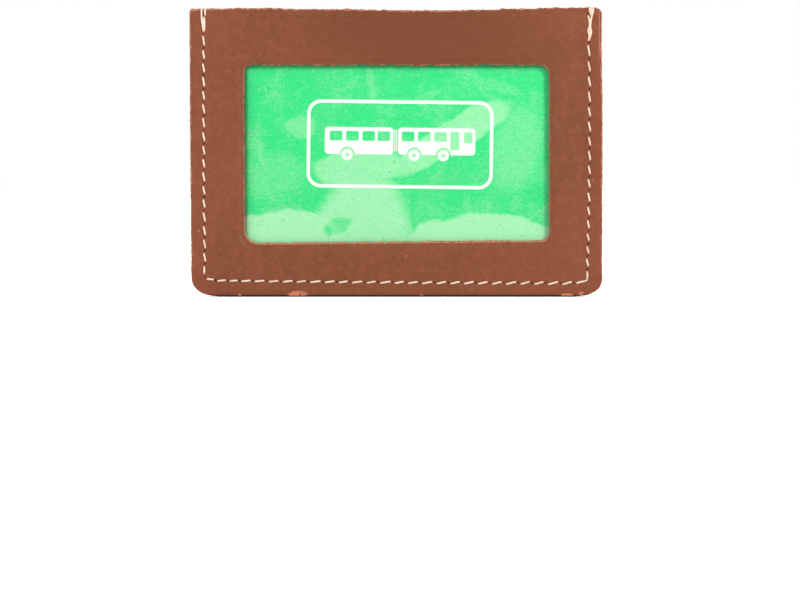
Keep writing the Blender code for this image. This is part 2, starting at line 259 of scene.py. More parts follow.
def primitive(operator, **settings):
    """What an operator adds, with nothing else selected."""
    bpy.ops.object.select_all(action="DESELECT")
    operator(**settings)
    return bpy.context.active_object


def linked(name, data):
    """A new object in the scene that shows a mesh or a curve."""
    obj = bpy.data.objects.new(name, data)
    bpy.context.scene.collection.objects.link(obj)
    return obj


def apply(obj, kind, **settings):
    """Finishes an object with a modifier and applies it."""
    activate(obj)
    modifier = obj.modifiers.new(kind.lower(), kind)
    for name, value in settings.items():
        setattr(modifier, name, value)
    bpy.ops.object.modifier_apply(modifier=modifier.name)
    return obj


def cut(obj, cutter):
    """Cuts one closed mesh out of another."""
    apply(obj, "BOOLEAN", operation="DIFFERENCE", solver="MANIFOLD", object=cutter)
    bpy.data.objects.remove(cutter)
    obj.data.materials.clear()
    return obj


def join(objects, name):
    activate(objects[0])
    for obj in objects:
        obj.select_set(True)
    bpy.ops.object.join()
    objects[0].name = name
    return objects[0]


def finish_edit(obj, angle=40):
    """Turns all faces outwards and shades them smooth up to an angle in degrees."""
    activate(obj)
    bpy.ops.object.mode_set(mode="EDIT")
    bpy.ops.mesh.select_all(action="SELECT")
    bpy.ops.mesh.normals_make_consistent(inside=False)
    bpy.ops.object.mode_set(mode="OBJECT")
    bpy.ops.object.shade_smooth_by_angle(angle=math.radians(angle))
    return obj


def finished(obj, name, body, slot, *nodes, material=None):
    """Names a piece, gives it a material if one is given, lets it ride on its body and hides the solids it
    stands for.
    """
    obj.name = name
    obj.data.name = name
    if material:
        obj.data.materials.append(material)
    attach(obj, body)
    if nodes:
        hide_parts(*nodes)
    return obj


def places(obj):
    """Where an object's points are: a row for each."""
    found = np.zeros(len(obj.data.vertices) * 3)
    obj.data.vertices.foreach_get("co", found)
    return found.reshape(-1, 3)


def mark(obj, name, amounts):
    """Writes an amount for each point into an attribute."""
    attributes = obj.data.attributes
    attribute = attributes.get(name) or attributes.new(name, "FLOAT", "POINT")
    attribute.data.foreach_set("value", amounts.reshape(-1))


def smooth(low, high, value):
    """0 below low, 1 above high and an eased step between."""
    part = np.clip((value - low) / (high - low), 0, 1)
    return part * part * (3 - 2 * part)


def hump(distance, width):
    """1 at no distance, falling to nothing over a little more than the width on both sides."""
    return np.exp(-((distance / width) ** 2))


def wander(points, size, seed):
    """Smooth noise between about -1 and 1 at each point, with bumps of the given size."""
    shift = Vector((seed * 17.3, seed * 5.1, seed * 9.7))
    return np.array([noise.noise(Vector(p) / size + shift) for p in points])


# What add_node can make: a node's type, its settings, its inputs in the order they are given, and its output
NODES = {
    "coordinates": ("TexCoord", {}, (), "Object"),
    "turn": ("Mapping", {}, ("Vector", "Rotation", "Scale"), 0),
    "patch": ("Mapping", {"vector_type": "TEXTURE"}, ("Vector", "Location", "Rotation", "Scale"), 0),
    "split": ("SeparateXYZ", {}, (0,), 0),
    "combine": ("CombineXYZ", {}, (0, 1, 2), 0),
    "noise": ("TexNoise", {}, ("Vector", "Scale", "Detail", "Roughness"), 0),
    "cells": ("TexVoronoi", {}, ("Vector", "Scale"), "Distance"),
    "step": ("MapRange", {"interpolation_type": "SMOOTHSTEP"}, (0, 1, 2, 3, 4), 0),
    "mix": ("Mix", {"data_type": "RGBA"}, (0, 6, 7), 2),
    "number": ("Mix", {"data_type": "FLOAT"}, (0, 2, 3), 0),
    "bump": ("Bump", {}, ("Strength", "Distance", "Height", "Normal"), 0),
    "attribute": ("Attribute", {}, (), "Fac"),
    "facing": ("LayerWeight", {}, ("Blend",), "Fresnel"),
    "path": ("LightPath", {}, (), 0),
    "scaled": ("VectorMath", {"operation": "SCALE"}, (0, "Scale"), 0),
    "distance": ("VectorMath", {"operation": "DISTANCE"}, (0, 1), "Value"),
    "reach": ("VectorMath", {"operation": "LENGTH"}, (0,), "Value"),
    "moved": ("VectorMath", {"operation": "ADD"}, (0, 1), 0),
    "moved back": ("VectorMath", {"operation": "SUBTRACT"}, (0, 1), 0),
    "stretched": ("VectorMath", {"operation": "MULTIPLY"}, (0, 1), 0),
    "plus": ("Math", {"operation": "ADD"}, (0, 1), 0),
    "minus": ("Math", {"operation": "SUBTRACT"}, (0, 1), 0),
    "times": ("Math", {"operation": "MULTIPLY"}, (0, 1), 0),
    "size of": ("Math", {"operation": "ABSOLUTE"}, (0,), 0),
    "most": ("Math", {"operation": "MAXIMUM"}, (0, 1), 0),
    "least": ("Math", {"operation": "MINIMUM"}, (0, 1), 0),
    "wave": ("Math", {"operation": "SINE"}, (0,), 0),
}


def fill(node, inputs):
    """Links a node's inputs to sockets or sets them to values."""
    for key, value in inputs.items():
        if isinstance(value, bpy.types.NodeSocket):
            node.id_data.links.new(value, node.inputs[key])
        else:
            node.inputs[key].default_value = value


def add_node(tree, kind, *inputs, output=None, **settings):
    """Adds a node of one of the kinds above, with its settings and links, and returns its output."""
    type_name, usual_settings, keys, usual_output = NODES[kind]
    made = tree.nodes.new("ShaderNode" + type_name)
    for name, value in {**usual_settings, **settings}.items():
        setattr(made, name, value)
    fill(made, dict(zip(keys, inputs)))
    return made.outputs[output or usual_output]


def new_material(name):
    """A material with its shader, what adds nodes to it and its Object coordinates."""
    made = bpy.data.materials.new(name)
    made.use_nodes = True
    add = partial(add_node, made.node_tree)
    return made, made.node_tree.nodes["Principled BSDF"], add, add("coordinates")


# Materials. A noise's scale is PER_MM over the size of its spots in millimetres.


def dyed_cowhide():
    """Vegetable-tanned cowhide, drum dyed and glazed smooth: a close fine grain, uneven dye and a soft gloss.
    The attribute raw shows its torn fibres, and the attribute hole_shade paints shade into its needle holes."""
    hide = values("pass_hide")
    made, shader, add, place = new_material("dyed_cowhide")
    x, z = add("split", place, output="X"), add("split", place, output="Z")
    clouds = add("step", add("noise", place, PER_MM / 26, 3), 0.36, 0.64)
    pull = add("noise", add("turn", place, (0, 0.5, 0), (1, 1, 0.35)), PER_MM / 2.6, 4, 0.6)
    mottle = add("noise", place, PER_MM / 0.8, 3, 0.7)
    blotches = add("noise", place, PER_MM / 1.9, 3, 0.6)
    dust = add("cells", place, PER_MM / 9)
    # Painted shade: the hide is painted darker towards the top middle, above the window
    away = add("distance", add("stretched", place, (PER_MM / 34, 0, PER_MM / 13)), (0.2, 0, 4.85))
    # A row of faint dents from the sewing machine's feed, 4 mm apart under the mouth's edge
    feed = add("step", add("wave", add("times", x, 2 * math.pi * PER_MM / 4.1)), 0.1, 0.9)
    line = add("size of", add("minus", z, 67.8 * MM))
    dents = add("times", feed, add("step", line, 0.12 * MM, 0.42 * MM, 0.34, 0))
    dents = add("times", dents, add("step", add("size of", x), 30 * MM, 42 * MM, 1, 0))
    # Painted highlight: a pale line down the right edge near the mouth, where a raised strip catches the
    # light
    beside = add("size of", add("minus", x, HALF_WIDTH - 0.84 * MM))
    beside = add("step", add("plus", beside, add("times", clouds, 0.10 * MM)), 0.06 * MM, 0.31 * MM, 0.75, 0)
    painted_highlight = add("times", beside, add("step", z, 56 * MM, 62 * MM))
    # Hair pores are about 0.1 mm across, and are drawn 0.42 mm apart so that they show
    pores = add("cells", place, PER_MM / 0.42)

    fibres = add("noise", place, PER_MM / 0.22, 4, 0.75)
    torn = add("mix", add("step", fibres, 0.45, 0.70), hide.raw, hide.raw_light)
    frayed = add("step", add("noise", place, PER_MM / 0.5, 3, 0.6), 0.34, 0.50)
    torn = add("mix", frayed, hide.red_brown, torn)
    raw = add("attribute", attribute_name="raw")
    ragged = add("minus", fibres, 0.5)
    raw_part = add("step", add("plus", raw, add("times", ragged, 1.1)), 0.35, 0.62)
    fresh = add("step", add("plus", raw, add("times", ragged, 1.6)), 1.15, 1.50)
    low = add("plus", z, add("times", fibres, 0.2 * MM))
    ground = add("mix", clouds, hide.deep_brown, hide.red_brown)
    for amount, tone in (
        (0.45, hide.brown),
        (add("step", pull, 0.40, 0.68, 0, 0.36), hide.red_brown),
        (add("step", mottle, 0.36, 0.66, 0, 0.42), hide.deep_brown),
        (add("step", blotches, 0.46, 0.64, 0, 0.34), linear("#965439")),
        (add("step", dust, 0.014, 0.026, 0.6, 0), linear("#D9B09C")),
        (add("step", away, 0.3, 1.3, 0.62, 0), hide.painted_top_shade),
        (dents, linear("#5E2C14")),
        (painted_highlight, linear("#C68670")),
        (add("step", pores, 0.05, 0.30, 0.30, 0), linear("#5C2D1A")),
        (raw_part, torn),
        # Painted shade along the bottom edge, where it meets the floor
        (add("step", low, 0.50 * MM, 0.74 * MM, 1, 0), hide.dirt_and_shade),
        (add("times", fresh, add("step", low, 0.30 * MM, 0.48 * MM)), hide.chip),
        # Painted shade down in the needle slits
        (add("attribute", attribute_name="hole_shade"), linear("#582817")),
    ):
        ground = add("mix", amount, ground, tone)

    gloss = add("step", add("noise", place, PER_MM / 3, 3, 0.6), 0.3, 0.7, 0.46, 0.60)
    grain = add("bump", 0.3, 0.05 * MM, pores)
    folds = add("bump", 0.5, 0.10 * MM, add("noise", place, PER_MM / 1.9, 5, 0.62), grain)
    nap = add("bump", raw_part, 0.25 * MM, fibres, folds)
    rough = add("number", raw_part, gloss, 0.9)
    fill(shader, {"Base Color": ground, "Roughness": rough, "Specular IOR Level": 0.3, "Normal": nap})
    return made


def napped_flesh_side():
    """The split flesh side of the hide, left napped: matt, paler and fibrous."""
    hide = values("pass_hide")
    made, shader, add, place = new_material("napped_flesh_side")
    nap = add("noise", place, PER_MM / 0.35, 5, 0.75)
    clouds = add("step", add("noise", place, PER_MM / 6, 3, 0.6), 0.35, 0.65)
    ground = add("mix", clouds, hide.flesh, hide.deep_brown)
    ground = add("mix", add("step", nap, 0.48, 0.75, 0, 0.55), ground, hide.raw)
    bump = add("bump", 0.8, 0.2 * MM, nap)
    fill(shader, {"Base Color": ground, "Roughness": 0.95, "Specular IOR Level": 0.2, "Normal": bump})
    return made


def torn_hide_fibres():
    """Loose collagen fibres at a cut edge: matt, from brown to pale pink."""
    hide = values("pass_hide")
    made, shader, add, place = new_material("torn_hide_fibres")
    tone = add("step", add("noise", place, PER_MM / 0.7), 0.40, 0.62)
    fibres = add("mix", 0.5, add("mix", tone, hide.brown, hide.raw_light), hide.raw)
    fill(shader, {"Base Color": fibres, "Roughness": 0.9})
    return made


def waxed_linen_thread():
    """Linen thread twisted from three yarns and waxed: cream with paler fibres and a dull shine.
    The attribute sunk tells how low it lies: its low sides get a painted warm shade, and its ends down in the
    holes a painted dark shade."""
    thread = values("pass_thread")
    made, shader, add, place = new_material("waxed_linen_thread")
    fibres = add("noise", place, PER_MM / 0.16, 4, 0.7)
    sunk = add("attribute", attribute_name="sunk")
    tone = add("mix", add("step", fibres, 0.40, 0.68), thread.cream, thread.light)
    for amount, dirt_and_shade in (
        (add("step", add("noise", place, PER_MM / 4), 0.46, 0.66, 0, 0.55), "#F6C7A2"),
        # Painted warm shade on the low sides, and painted dark shade on the ends down in the holes
        (add("step", sunk, 0.03, 0.34), "#EBAE8C"),
        (add("step", sunk, 0.62, 0.95), "#6A3422"),
    ):
        tone = add("mix", amount, tone, linear(dirt_and_shade))
    bump = add("bump", 0.5, 0.03 * MM, fibres)
    fill(shader, {"Base Color": tone, "Roughness": 0.55, "Normal": bump})
    fill(shader, {"Sheen Weight": 0.25, "Sheen Roughness": 0.5})
    return made


def calendered_pvc_film():
    """Plasticised PVC film, calendered: clear and glossy, faintly milky where it has taken rubs."""
    film = values("pass_film")
    hide = values("pass_hide")
    made, shader, add, place = new_material("calendered_pvc_film")
    x, z = add("split", place, output="X"), add("split", place, output="Z")
    rubs = add("noise", add("turn", place, (0, 0.6, 0), (1, 1, 0.16)), PER_MM / 0.7, 2, 0.4)
    clouds = add("step", add("noise", place, PER_MM / 11, 3), 0.50, 0.66, 0, film.patch_haze)
    milk = add("plus", add("plus", clouds, add("step", rubs, 0.70, 0.74, 0, 0.05)), film.haze)
    # Fine creases run over it as curved pale lines
    folds = add("size of", add("minus", add("noise", place, PER_MM / 21, 1.5), 0.5))
    folded = add("step", add("noise", place, PER_MM / 8), 0.46, 0.62)
    milk = add("plus", milk, add("times", add("step", folds, 0.0015, 0.010, 0.07, 0), folded))
    # Painted shade on the film along the window's left edge, and less along its top
    uneven = add("times", add("noise", place, PER_MM / 1.2), 0.3 * MM)
    beside = add("plus", add("plus", x, hide.window_side), uneven)
    below = add("minus", hide.window_top, add("minus", z, uneven))
    painted_edge_shade = add("step", beside, 0.05 * MM, 1.5 * MM, film.edge_shade_strength, 0)
    painted_edge_shade = add("most", painted_edge_shade, add("step", below, 0.1 * MM, 1.3 * MM, film.edge_shade_strength * 0.45, 0))
    shade = add("mix", add("step", painted_edge_shade, 0, 0.05), film.tint, linear("#1E4A2C"))
    alpha = add("least", add("most", add("most", milk, add("facing", 0.10)), painted_edge_shade), 0.85)
    waves = add("bump", 0.3, 0.2 * MM, add("noise", place, PER_MM / 9))
    fill(shader, {"Base Color": shade, "Roughness": 0.16, "Specular IOR Level": 0.7})
    fill(shader, {"Alpha": alpha, "Normal": waves})
    return made


# Painted reflections, as pale cloudy patches over the card's ground: middle, half sizes and turn in mm and
# degrees, paleness, softness. A negative paleness is a patch that is darker again.
REFLECTION_PATCHES = (
    ((-27.0, 4.0), (21.0, 18.0), 0, 1.0, 0.08),
    ((20.5, 4.0), (26.5, 16.9), 1, 0.97, 0.08),
    ((-8.2, 14.0), (13.6, 18.6), -8, 0.86, 0.30),
    ((13.0, 38.4), (19.5, 4.2), 31, 0.72, 0.25),
    ((-9.0, 31.4), (12.5, 5.6), 3, 0.74, 0.24),
    ((-23.2, 41.6), (4.4, 3.2), 10, 0.42, 0.30),
    ((-5.8, 50.9), (1.6, 6.4), 6, 0.28, 0.50),
    ((29.4, 36.0), (8.6, 15.0), -6, 0.36, 0.60),
    ((-29.6, 29.5), (10.0, 8.4), 10, 0.28, 0.60),
    ((8.0, 48.5), (6.0, 1.4), 24, 0.24, 0.50),
    ((24.0, 51.0), (9.0, 1.8), -10, 0.22, 0.50),
    ((-14.2, 17.0), (3.9, 1.6), 24, -0.50, 0.30),
    ((-16.6, 15.6), (1.5, 1.3), 0, -0.30, 0.40),
)


def offset_printed_pvc():
    """A laminated PVC card, offset printed in green with a fine mottle and dark specks, under pale cloudy
    patches of painted reflection.
    """
    card = values("pass_card_values")
    made, shader, add, place = new_material("offset_printed_pvc")
    # The patches' outlines stray by up to 2.6 mm
    stray = add("moved back", add("noise", place, PER_MM / 9, 4, 0.55, output="Color"), (0.5, 0.5, 0.5))
    bent = add("moved", place, add("scaled", stray, 5.2 * MM))
    pale = add("step", add("noise", place, PER_MM / 8, 4, 0.6), 0.42, 0.72, 0, 0.28)
    for (x, z), (half_x, half_z), turn, paleness, softness in REFLECTION_PATCHES:
        size = (half_x * MM, 1, half_z * MM)
        spot = add("patch", bent, (x * MM, 0, z * MM), (0, math.radians(-turn), 0), size)
        reach = add("reach", add("stretched", spot, (1, 0, 1)))
        patch = add("step", reach, 1 - softness, 1, paleness, 0)
        pale = add("most" if paleness > 0 else "plus", pale, patch)
    strokes = add("noise", add("turn", place, (0, 0, 0), (0.22, 1, 1)), PER_MM / 0.7, 3, 0.6)
    grain = add("step", add("noise", place, PER_MM / 0.55, 3, 0.8), 0.30, 0.72, -0.16, 0.16)
    pale = add("plus", add("plus", pale, add("step", strokes, 0.34, 0.68, -0.05, 0.05)), grain)
    specks = add("noise", place, PER_MM / 0.9, 3, 0.7)
    dust = add("cells", place, PER_MM / 4.2)
    ground = add("mix", pale, card.green, card.light_green)
    ground = add("mix", add("step", specks, 0.61, 0.72, 0, 0.6), ground, card.speck_green)
    ground = add("mix", add("step", dust, 0.022, 0.045, 0.75, 0), ground, linear("#E8FFEC"))
    bump = add("bump", 0.2, 0.03 * MM, grain)
    fill(shader, {"Base Color": ground, "Roughness": 0.5, "Specular IOR Level": 0.3, "Normal": bump})
    return made


def white_screen_ink():
    """Opaque white screen ink on the card: matt, with a barely uneven film."""
    card = values("pass_card_values")
    made, shader, add, place = new_material("white_screen_ink")
    film = add("noise", place, PER_MM / 0.5, 3, 0.6)
    tone = add("mix", add("step", film, 0.55, 0.8, 0, 0.25), card.ink, linear("#EDF8EF"))
    fill(shader, {"Base Color": tone, "Roughness": 0.55, "Normal": add("bump", 0.2, 0.01 * MM, film)})
    return made


def die_cut_pvc_edge():
    """The card's die-cut edge: its white PVC core between printed skins."""
    card = values("pass_card_values")
    made, shader, add, place = new_material("die_cut_pvc_edge")
    skins = add("step", add("noise", place, PER_MM / 0.3, 3, 0.6), 0.4, 0.7, 0, 0.4)
    fill(shader, {"Base Color": add("mix", skins, card.edge, card.light_green), "Roughness": 0.6})
    return made


def hot_stamped_foil():
    """Silver stamping foil pressed into the grain by a hot die: bright metal, worn through at the pores."""
    made, shader, add, place = new_material("hot_stamped_foil")
    wear = add("step", add("noise", place, PER_MM / 0.35, 4, 0.7), 0.50, 0.66, 0, 0.8)
    tone = add("mix", wear, values("pass_foil").silver, linear("#A8705C"))
    rough = add("step", add("noise", place, PER_MM / 0.6, 3, 0.6), 0.3, 0.7, 0.30, 0.48)
    bump = add("bump", 0.6, 0.03 * MM, wear)
    fill(shader, {"Base Color": tone, "Metallic": 0.85, "Roughness": rough, "Normal": bump})
    return made


def seen_directly(add):
    """1 for what the camera sees, also in a gloss or through a clear sheet."""
    rays = ("Camera", "Glossy", "Transmission")
    camera, gloss, clear = [add("path", output=f"Is {ray} Ray") for ray in rays]
    return add("most", add("most", camera, gloss), clear)


def matt_white_paint():
    """Matt white paint on board, lifted to white for the camera, with the shadow kept near the holder."""
    stage = values("pass_stage")
    made, shader, add, place = new_material("matt_white_paint")
    clouds = add("step", add("noise", place, PER_MM / 40), 0.3, 0.7)
    shade = add("mix", clouds, stage.floor, linear("#EDEDED"))
    beside = add("most", add("minus", add("size of", add("split", place, output="X")), HALF_WIDTH), 0)
    reach = add("reach", add("combine", beside, add("split", place, output="Y")))
    lift = add("times", seen_directly(add), add("step", reach, 2 * MM, stage.shadow_reach, 0.36, 1))
    fill(shader, {"Base Color": shade, "Roughness": 0.9, "Specular IOR Level": 0.1})
    fill(shader, {"Emission Color": (1, 1, 1, 1), "Emission Strength": lift})
    return made


# The seam


def run_of_holes(start, end, count, random_source, drift=0.0, bow=0.0):
    """Holes from start to just before end. The stitches grow along the run by drift, and bow moves the run's
    middle to its left."""
    span = end - start
    along = span.normalized()
    across = Vector((-along.y, along.x))
    stray = values("pass_thread").unevenness
    holes = []
    for i in range(count):
        part = i / count
        part += drift * part * (part - 1)
        off = along * random_source.uniform(-stray, stray) + across * random_source.uniform(-stray, stray) / 3
        bowed = across * 4 * bow * part * (1 - part)
        holes.append(start + span * part + bowed + (off if i else Vector((0, 0))))
    return holes


def seam_holes():
    """The stitch holes in X-Z, from the left mouth end down, along the bottom and up to the right mouth end.
    The first stitches along the bottom are short, and those up the right side grow towards the mouth."""
    thread = values("pass_thread")
    left, right, foot = thread.left_inset - HALF_WIDTH, HALF_WIDTH - thread.right_inset, thread.bottom_inset

    def spot(x, z, right_by, up_by):
        return Vector((x + right_by * MM, z + up_by * MM))

    low_left = spot(left, foot, 0, 1.2)
    after_short = spot(left, foot, 11.5, 0.28)
    before_corner = spot(right, foot, -3.3, -0.25)
    last_but_two = spot(right, HEIGHT, 0.20, -8.45)
    source = random.Random(HOLE_SEED)
    holes = [spot(left, HEIGHT, -0.35, -1.85)]
    holes += run_of_holes(spot(left, HEIGHT, -0.24, -6.3), low_left, 18, source, -0.02, -0.12 * MM)
    holes += [low_left]
    holes += run_of_holes(spot(left, foot, 2.6, 0.40), after_short, 3, source, 0.06)
    holes += run_of_holes(after_short, before_corner, 23, source, 0.0, -0.10 * MM)
    holes += [before_corner]
    holes += run_of_holes(spot(right, foot, -0.22, 0.24), last_but_two, 17, source, 0.13, -0.40 * MM)
    return holes + [last_but_two, spot(right, HEIGHT, 0.46, -4.5), spot(right, HEIGHT, 0.06, -1.6)]


def slit_directions(holes):
    """The long way of the slit at each hole, turned against the seam's direction there."""
    steps = [(b - a).normalized() for a, b in zip(holes, holes[1:])]
    middles = [(a + b).normalized() for a, b in zip(steps[:1] + steps, steps + steps[-1:])]
    return [Matrix.Rotation(math.radians(SLIT_TURN), 2) @ middle for middle in middles]


# The leathers' shape


def beyond(across, up, radius):
    """Distance out from an edge with a rounded corner, from the distances past the corner's middle."""
    outside = np.hypot(np.maximum(across, 0), np.maximum(up, 0))
    return outside + np.minimum(np.maximum(across, up), 0) - radius


def seam_distance(x, z):
    """Distance in from the three sewn edges, round the bottom corners by the ramp's turn."""
    turn = values("pass_hide").ramp_turn
    return -beyond(np.abs(x) - (HALF_WIDTH - turn), turn - z, turn)


def corner_distance(x, z):
    """Distance in from the nearest cut edge, mouth included, round all four corners."""
    up = np.abs(z - HEIGHT / 2) - (HEIGHT / 2 - WEAR_RADIUS)
    return -beyond(np.abs(x) - (HALF_WIDTH - WEAR_RADIUS), up, WEAR_RADIUS)


def tilt(x, z):
    """How far the window's lower part is raised by its tilt. Its upper edge is level."""
    return values("pass_hide").window_tilt * x * (1 - smooth(20 * MM, 50 * MM, z))


def window_distance(x, z):
    """Distance out from the window's edge, negative inside it."""
    hide = values("pass_hide")
    middle = (hide.window_top + hide.window_bottom) / 2
    half = (hide.window_top - hide.window_bottom) / 2
    up = np.abs(z - tilt(x, z) - middle) - (half - WINDOW_RADIUS)
    return beyond(np.abs(x) - (hide.window_side - WINDOW_RADIUS), up, WINDOW_RADIUS)


def leather_face(x, z):
    """How far a leather's smooth face lies from the middle of the holder, without seam and window."""
    hide = values("pass_hide")
    ramp = smooth(hide.ramp_foot, hide.ramp_head, seam_distance(x, z))
    return hide.seam_face + (PLATEAU - 0.03 * MM - hide.seam_face) * ramp


def leather_inner(x, z):
    """How far a leather's inner side lies from the middle of the holder."""
    hide = values("pass_hide")
    ramp = smooth(hide.ramp_foot + 0.5 * MM, hide.pocket_head, seam_distance(x, z))
    return hide.seam_inner + (hide.pocket_inner - hide.seam_inner) * ramp


def worn_shape(x, z):
    """Moves spots of a leather's plain outline to where use has brought them: the mouth's edge sags in its
    middle, the sides draw in a little and the bottom corners are rubbed up."""
    part_up = np.clip(z / HEIGHT, 0, 1)
    sag = values("pass_hide").mouth_sag * hump(x - 9 * MM, 25 * MM) + 0.02 * MM
    sag += 0.23 * MM * (1 - smooth(18 * MM, 42 * MM, x))
    z = z - sag * smooth(0.85, 1.0, part_up)
    worn = 0.38 * MM * (1 - smooth(-47 * MM, -41 * MM, x)) + 0.48 * MM * smooth(42 * MM, 48 * MM, x)
    z = np.maximum(z + worn * (1 - smooth(0, 0.05, part_up)), 0.02 * MM)
    x = x + 0.38 * MM * (1 - part_up) * (1 - smooth(-50 * MM, -20 * MM, x))
    x = x - 0.22 * MM * smooth(0.62, 0.95, part_up) * smooth(20 * MM, 50 * MM, x)
    return x, z


def detailed_face(x, z, holes, windowed, seed):
    """The leather's face with its swollen margin, stitch grooves, dimples, pressed window rim and folds."""
    hide = values("pass_hide")
    margin = seam_distance(x, z)
    edge = corner_distance(x, z)
    face = leather_face(x, z)
    face += hide.edge_crown * smooth(0.1 * MM, 1.3 * MM, margin) * (1 - smooth(1.5 * MM, 3.0 * MM, margin))
    # A low ridge and a rubbed line follow the edge, most at the right near the mouth
    ridge = smooth(58 * MM, 64 * MM, z) * smooth(20 * MM, 30 * MM, x)
    rub = 0.30 + 0.70 * smooth(50 * MM, 62 * MM, z) * (0.5 + 0.5 * smooth(-10 * MM, 10 * MM, x))
    face += 0.13 * MM * ridge * hump(edge - 0.98 * MM, 0.19 * MM)
    face -= hide.crease * rub * hump(edge - 0.66 * MM, 0.17 * MM)
    pressed = np.zeros_like(x)
    rims = np.zeros_like(x)
    for a, b in zip(holes, holes[1:]):
        span = b - a
        part = np.clip(((x - a.x) * span.x + (z - a.y) * span.y) / span.length_squared, 0.1, 0.9)
        off = np.hypot(x - a.x - span.x * part, z - a.y - span.y * part)
        pressed = np.maximum(pressed, hide.groove * hump(off, 0.48 * MM))
    for hole in holes:
        off = np.hypot(x - hole.x, z - hole.y)
        pressed = np.maximum(pressed, hide.dimple * hump(off, 0.46 * MM))
        rims = np.maximum(rims, 0.07 * MM * hump(off - 0.95 * MM, 0.33 * MM))
    face += rims - pressed
    if windowed:
        out = window_distance(x, z)
        face -= hide.rim_drop * (1 - smooth(hide.rim_width * 0.45, hide.rim_width * 1.25, out))
        face -= 0.05 * MM * hump(out - hide.rim_width, 0.22 * MM)
    points = np.stack([x, np.zeros_like(x), z], axis=1)
    return face + 0.035 * MM * wander(points, 9 * MM, seed) + 0.012 * MM * wander(points, 1.7 * MM, seed + 1)


def rounded_ring(low, high, radii, counts):
    """Points round a rectangle with rounded corners, from the left end of its bottom side on.
    radii go bottom right, top right, top left, bottom left. counts are for a width, a height and a corner."""
    wide, tall, turn = counts
    bottom_right, top_right, top_left, bottom_left = radii
    (left, bottom), (right, top) = low, high
    points = []

    def side(x0, z0, x1, z1, count):
        part = np.arange(count)[:, None] / count
        points.append(np.array([[x0, z0]]) * (1 - part) + np.array([[x1, z1]]) * part)

    def corner(x, z, radius, start):
        angle = np.radians(start + 90 * np.arange(turn) / turn)
        points.append(np.stack([x + radius * np.cos(angle), z + radius * np.sin(angle)], axis=1))

    side(left + bottom_left, bottom, right - bottom_right, bottom, wide)
    corner(right - bottom_right, bottom + bottom_right, bottom_right, -90)
    side(right, bottom + bottom_right, right, top - top_right, tall)
    corner(right - top_right, top - top_right, top_right, 0)
    side(right - top_right, top, left + top_left, top, wide)
    corner(left + top_left, top - top_left, top_left, 90)
    side(left, top - top_left, left, bottom + bottom_left, tall)
    corner(left + bottom_left, bottom + bottom_left, bottom_left, 180)
    return np.concatenate(points)


def lap_width():
    """How far the front leather reaches from its cut edge to its window."""
    return HALF_WIDTH - values("pass_hide").window_side


def leather_rows():
    """The rows across a leather's section: distance in from the cut edge, and depth from face to inner side.
    They run from the window's lip out over the face, down the cut edge and back in along the inner side."""
    slope = values("pass_hide").window_slope
    lap = lap_width()
    stops = (lap - slope, lap - LIP, 7.4 * MM, 5.0 * MM, 2.0 * MM, 0.98 * MM, 0.42 * MM)
    rows = []
    for start, end, step in zip(stops, stops[1:], (0.15, 0.8, 0.4, 0.22, 0.26, 0.11)):
        count = max(1, round((start - end) / (step * MM)))
        rows += [(start + (end - start) * i / count, 0.0) for i in range(count)]
    rows += [(0.42 * MM, 0.0), (0.24 * MM, 0.02), (0.11 * MM, 0.06), (0.03 * MM, 0.14)]
    rows += [(0.0, 0.30), (0.0, 0.50), (0.0, 0.70), (0.02 * MM, 0.88), (0.12 * MM, 0.98)]
    rows += [(d * MM, 1.0) for d in (0.5, 1.5, 2.7, 4.0, 5.2, 6.4, 7.6, 9.5)]
    rows += [(lap - 0.6 * MM, 1.0), (lap - 0.08 * MM, 0.97)]
    window_cut = ((0, 0.82), (0.2, 0.6), (0.5, 0.36), (0.85, 0.12))
    return rows + [(lap - slope * part, depth) for part, depth in window_cut]


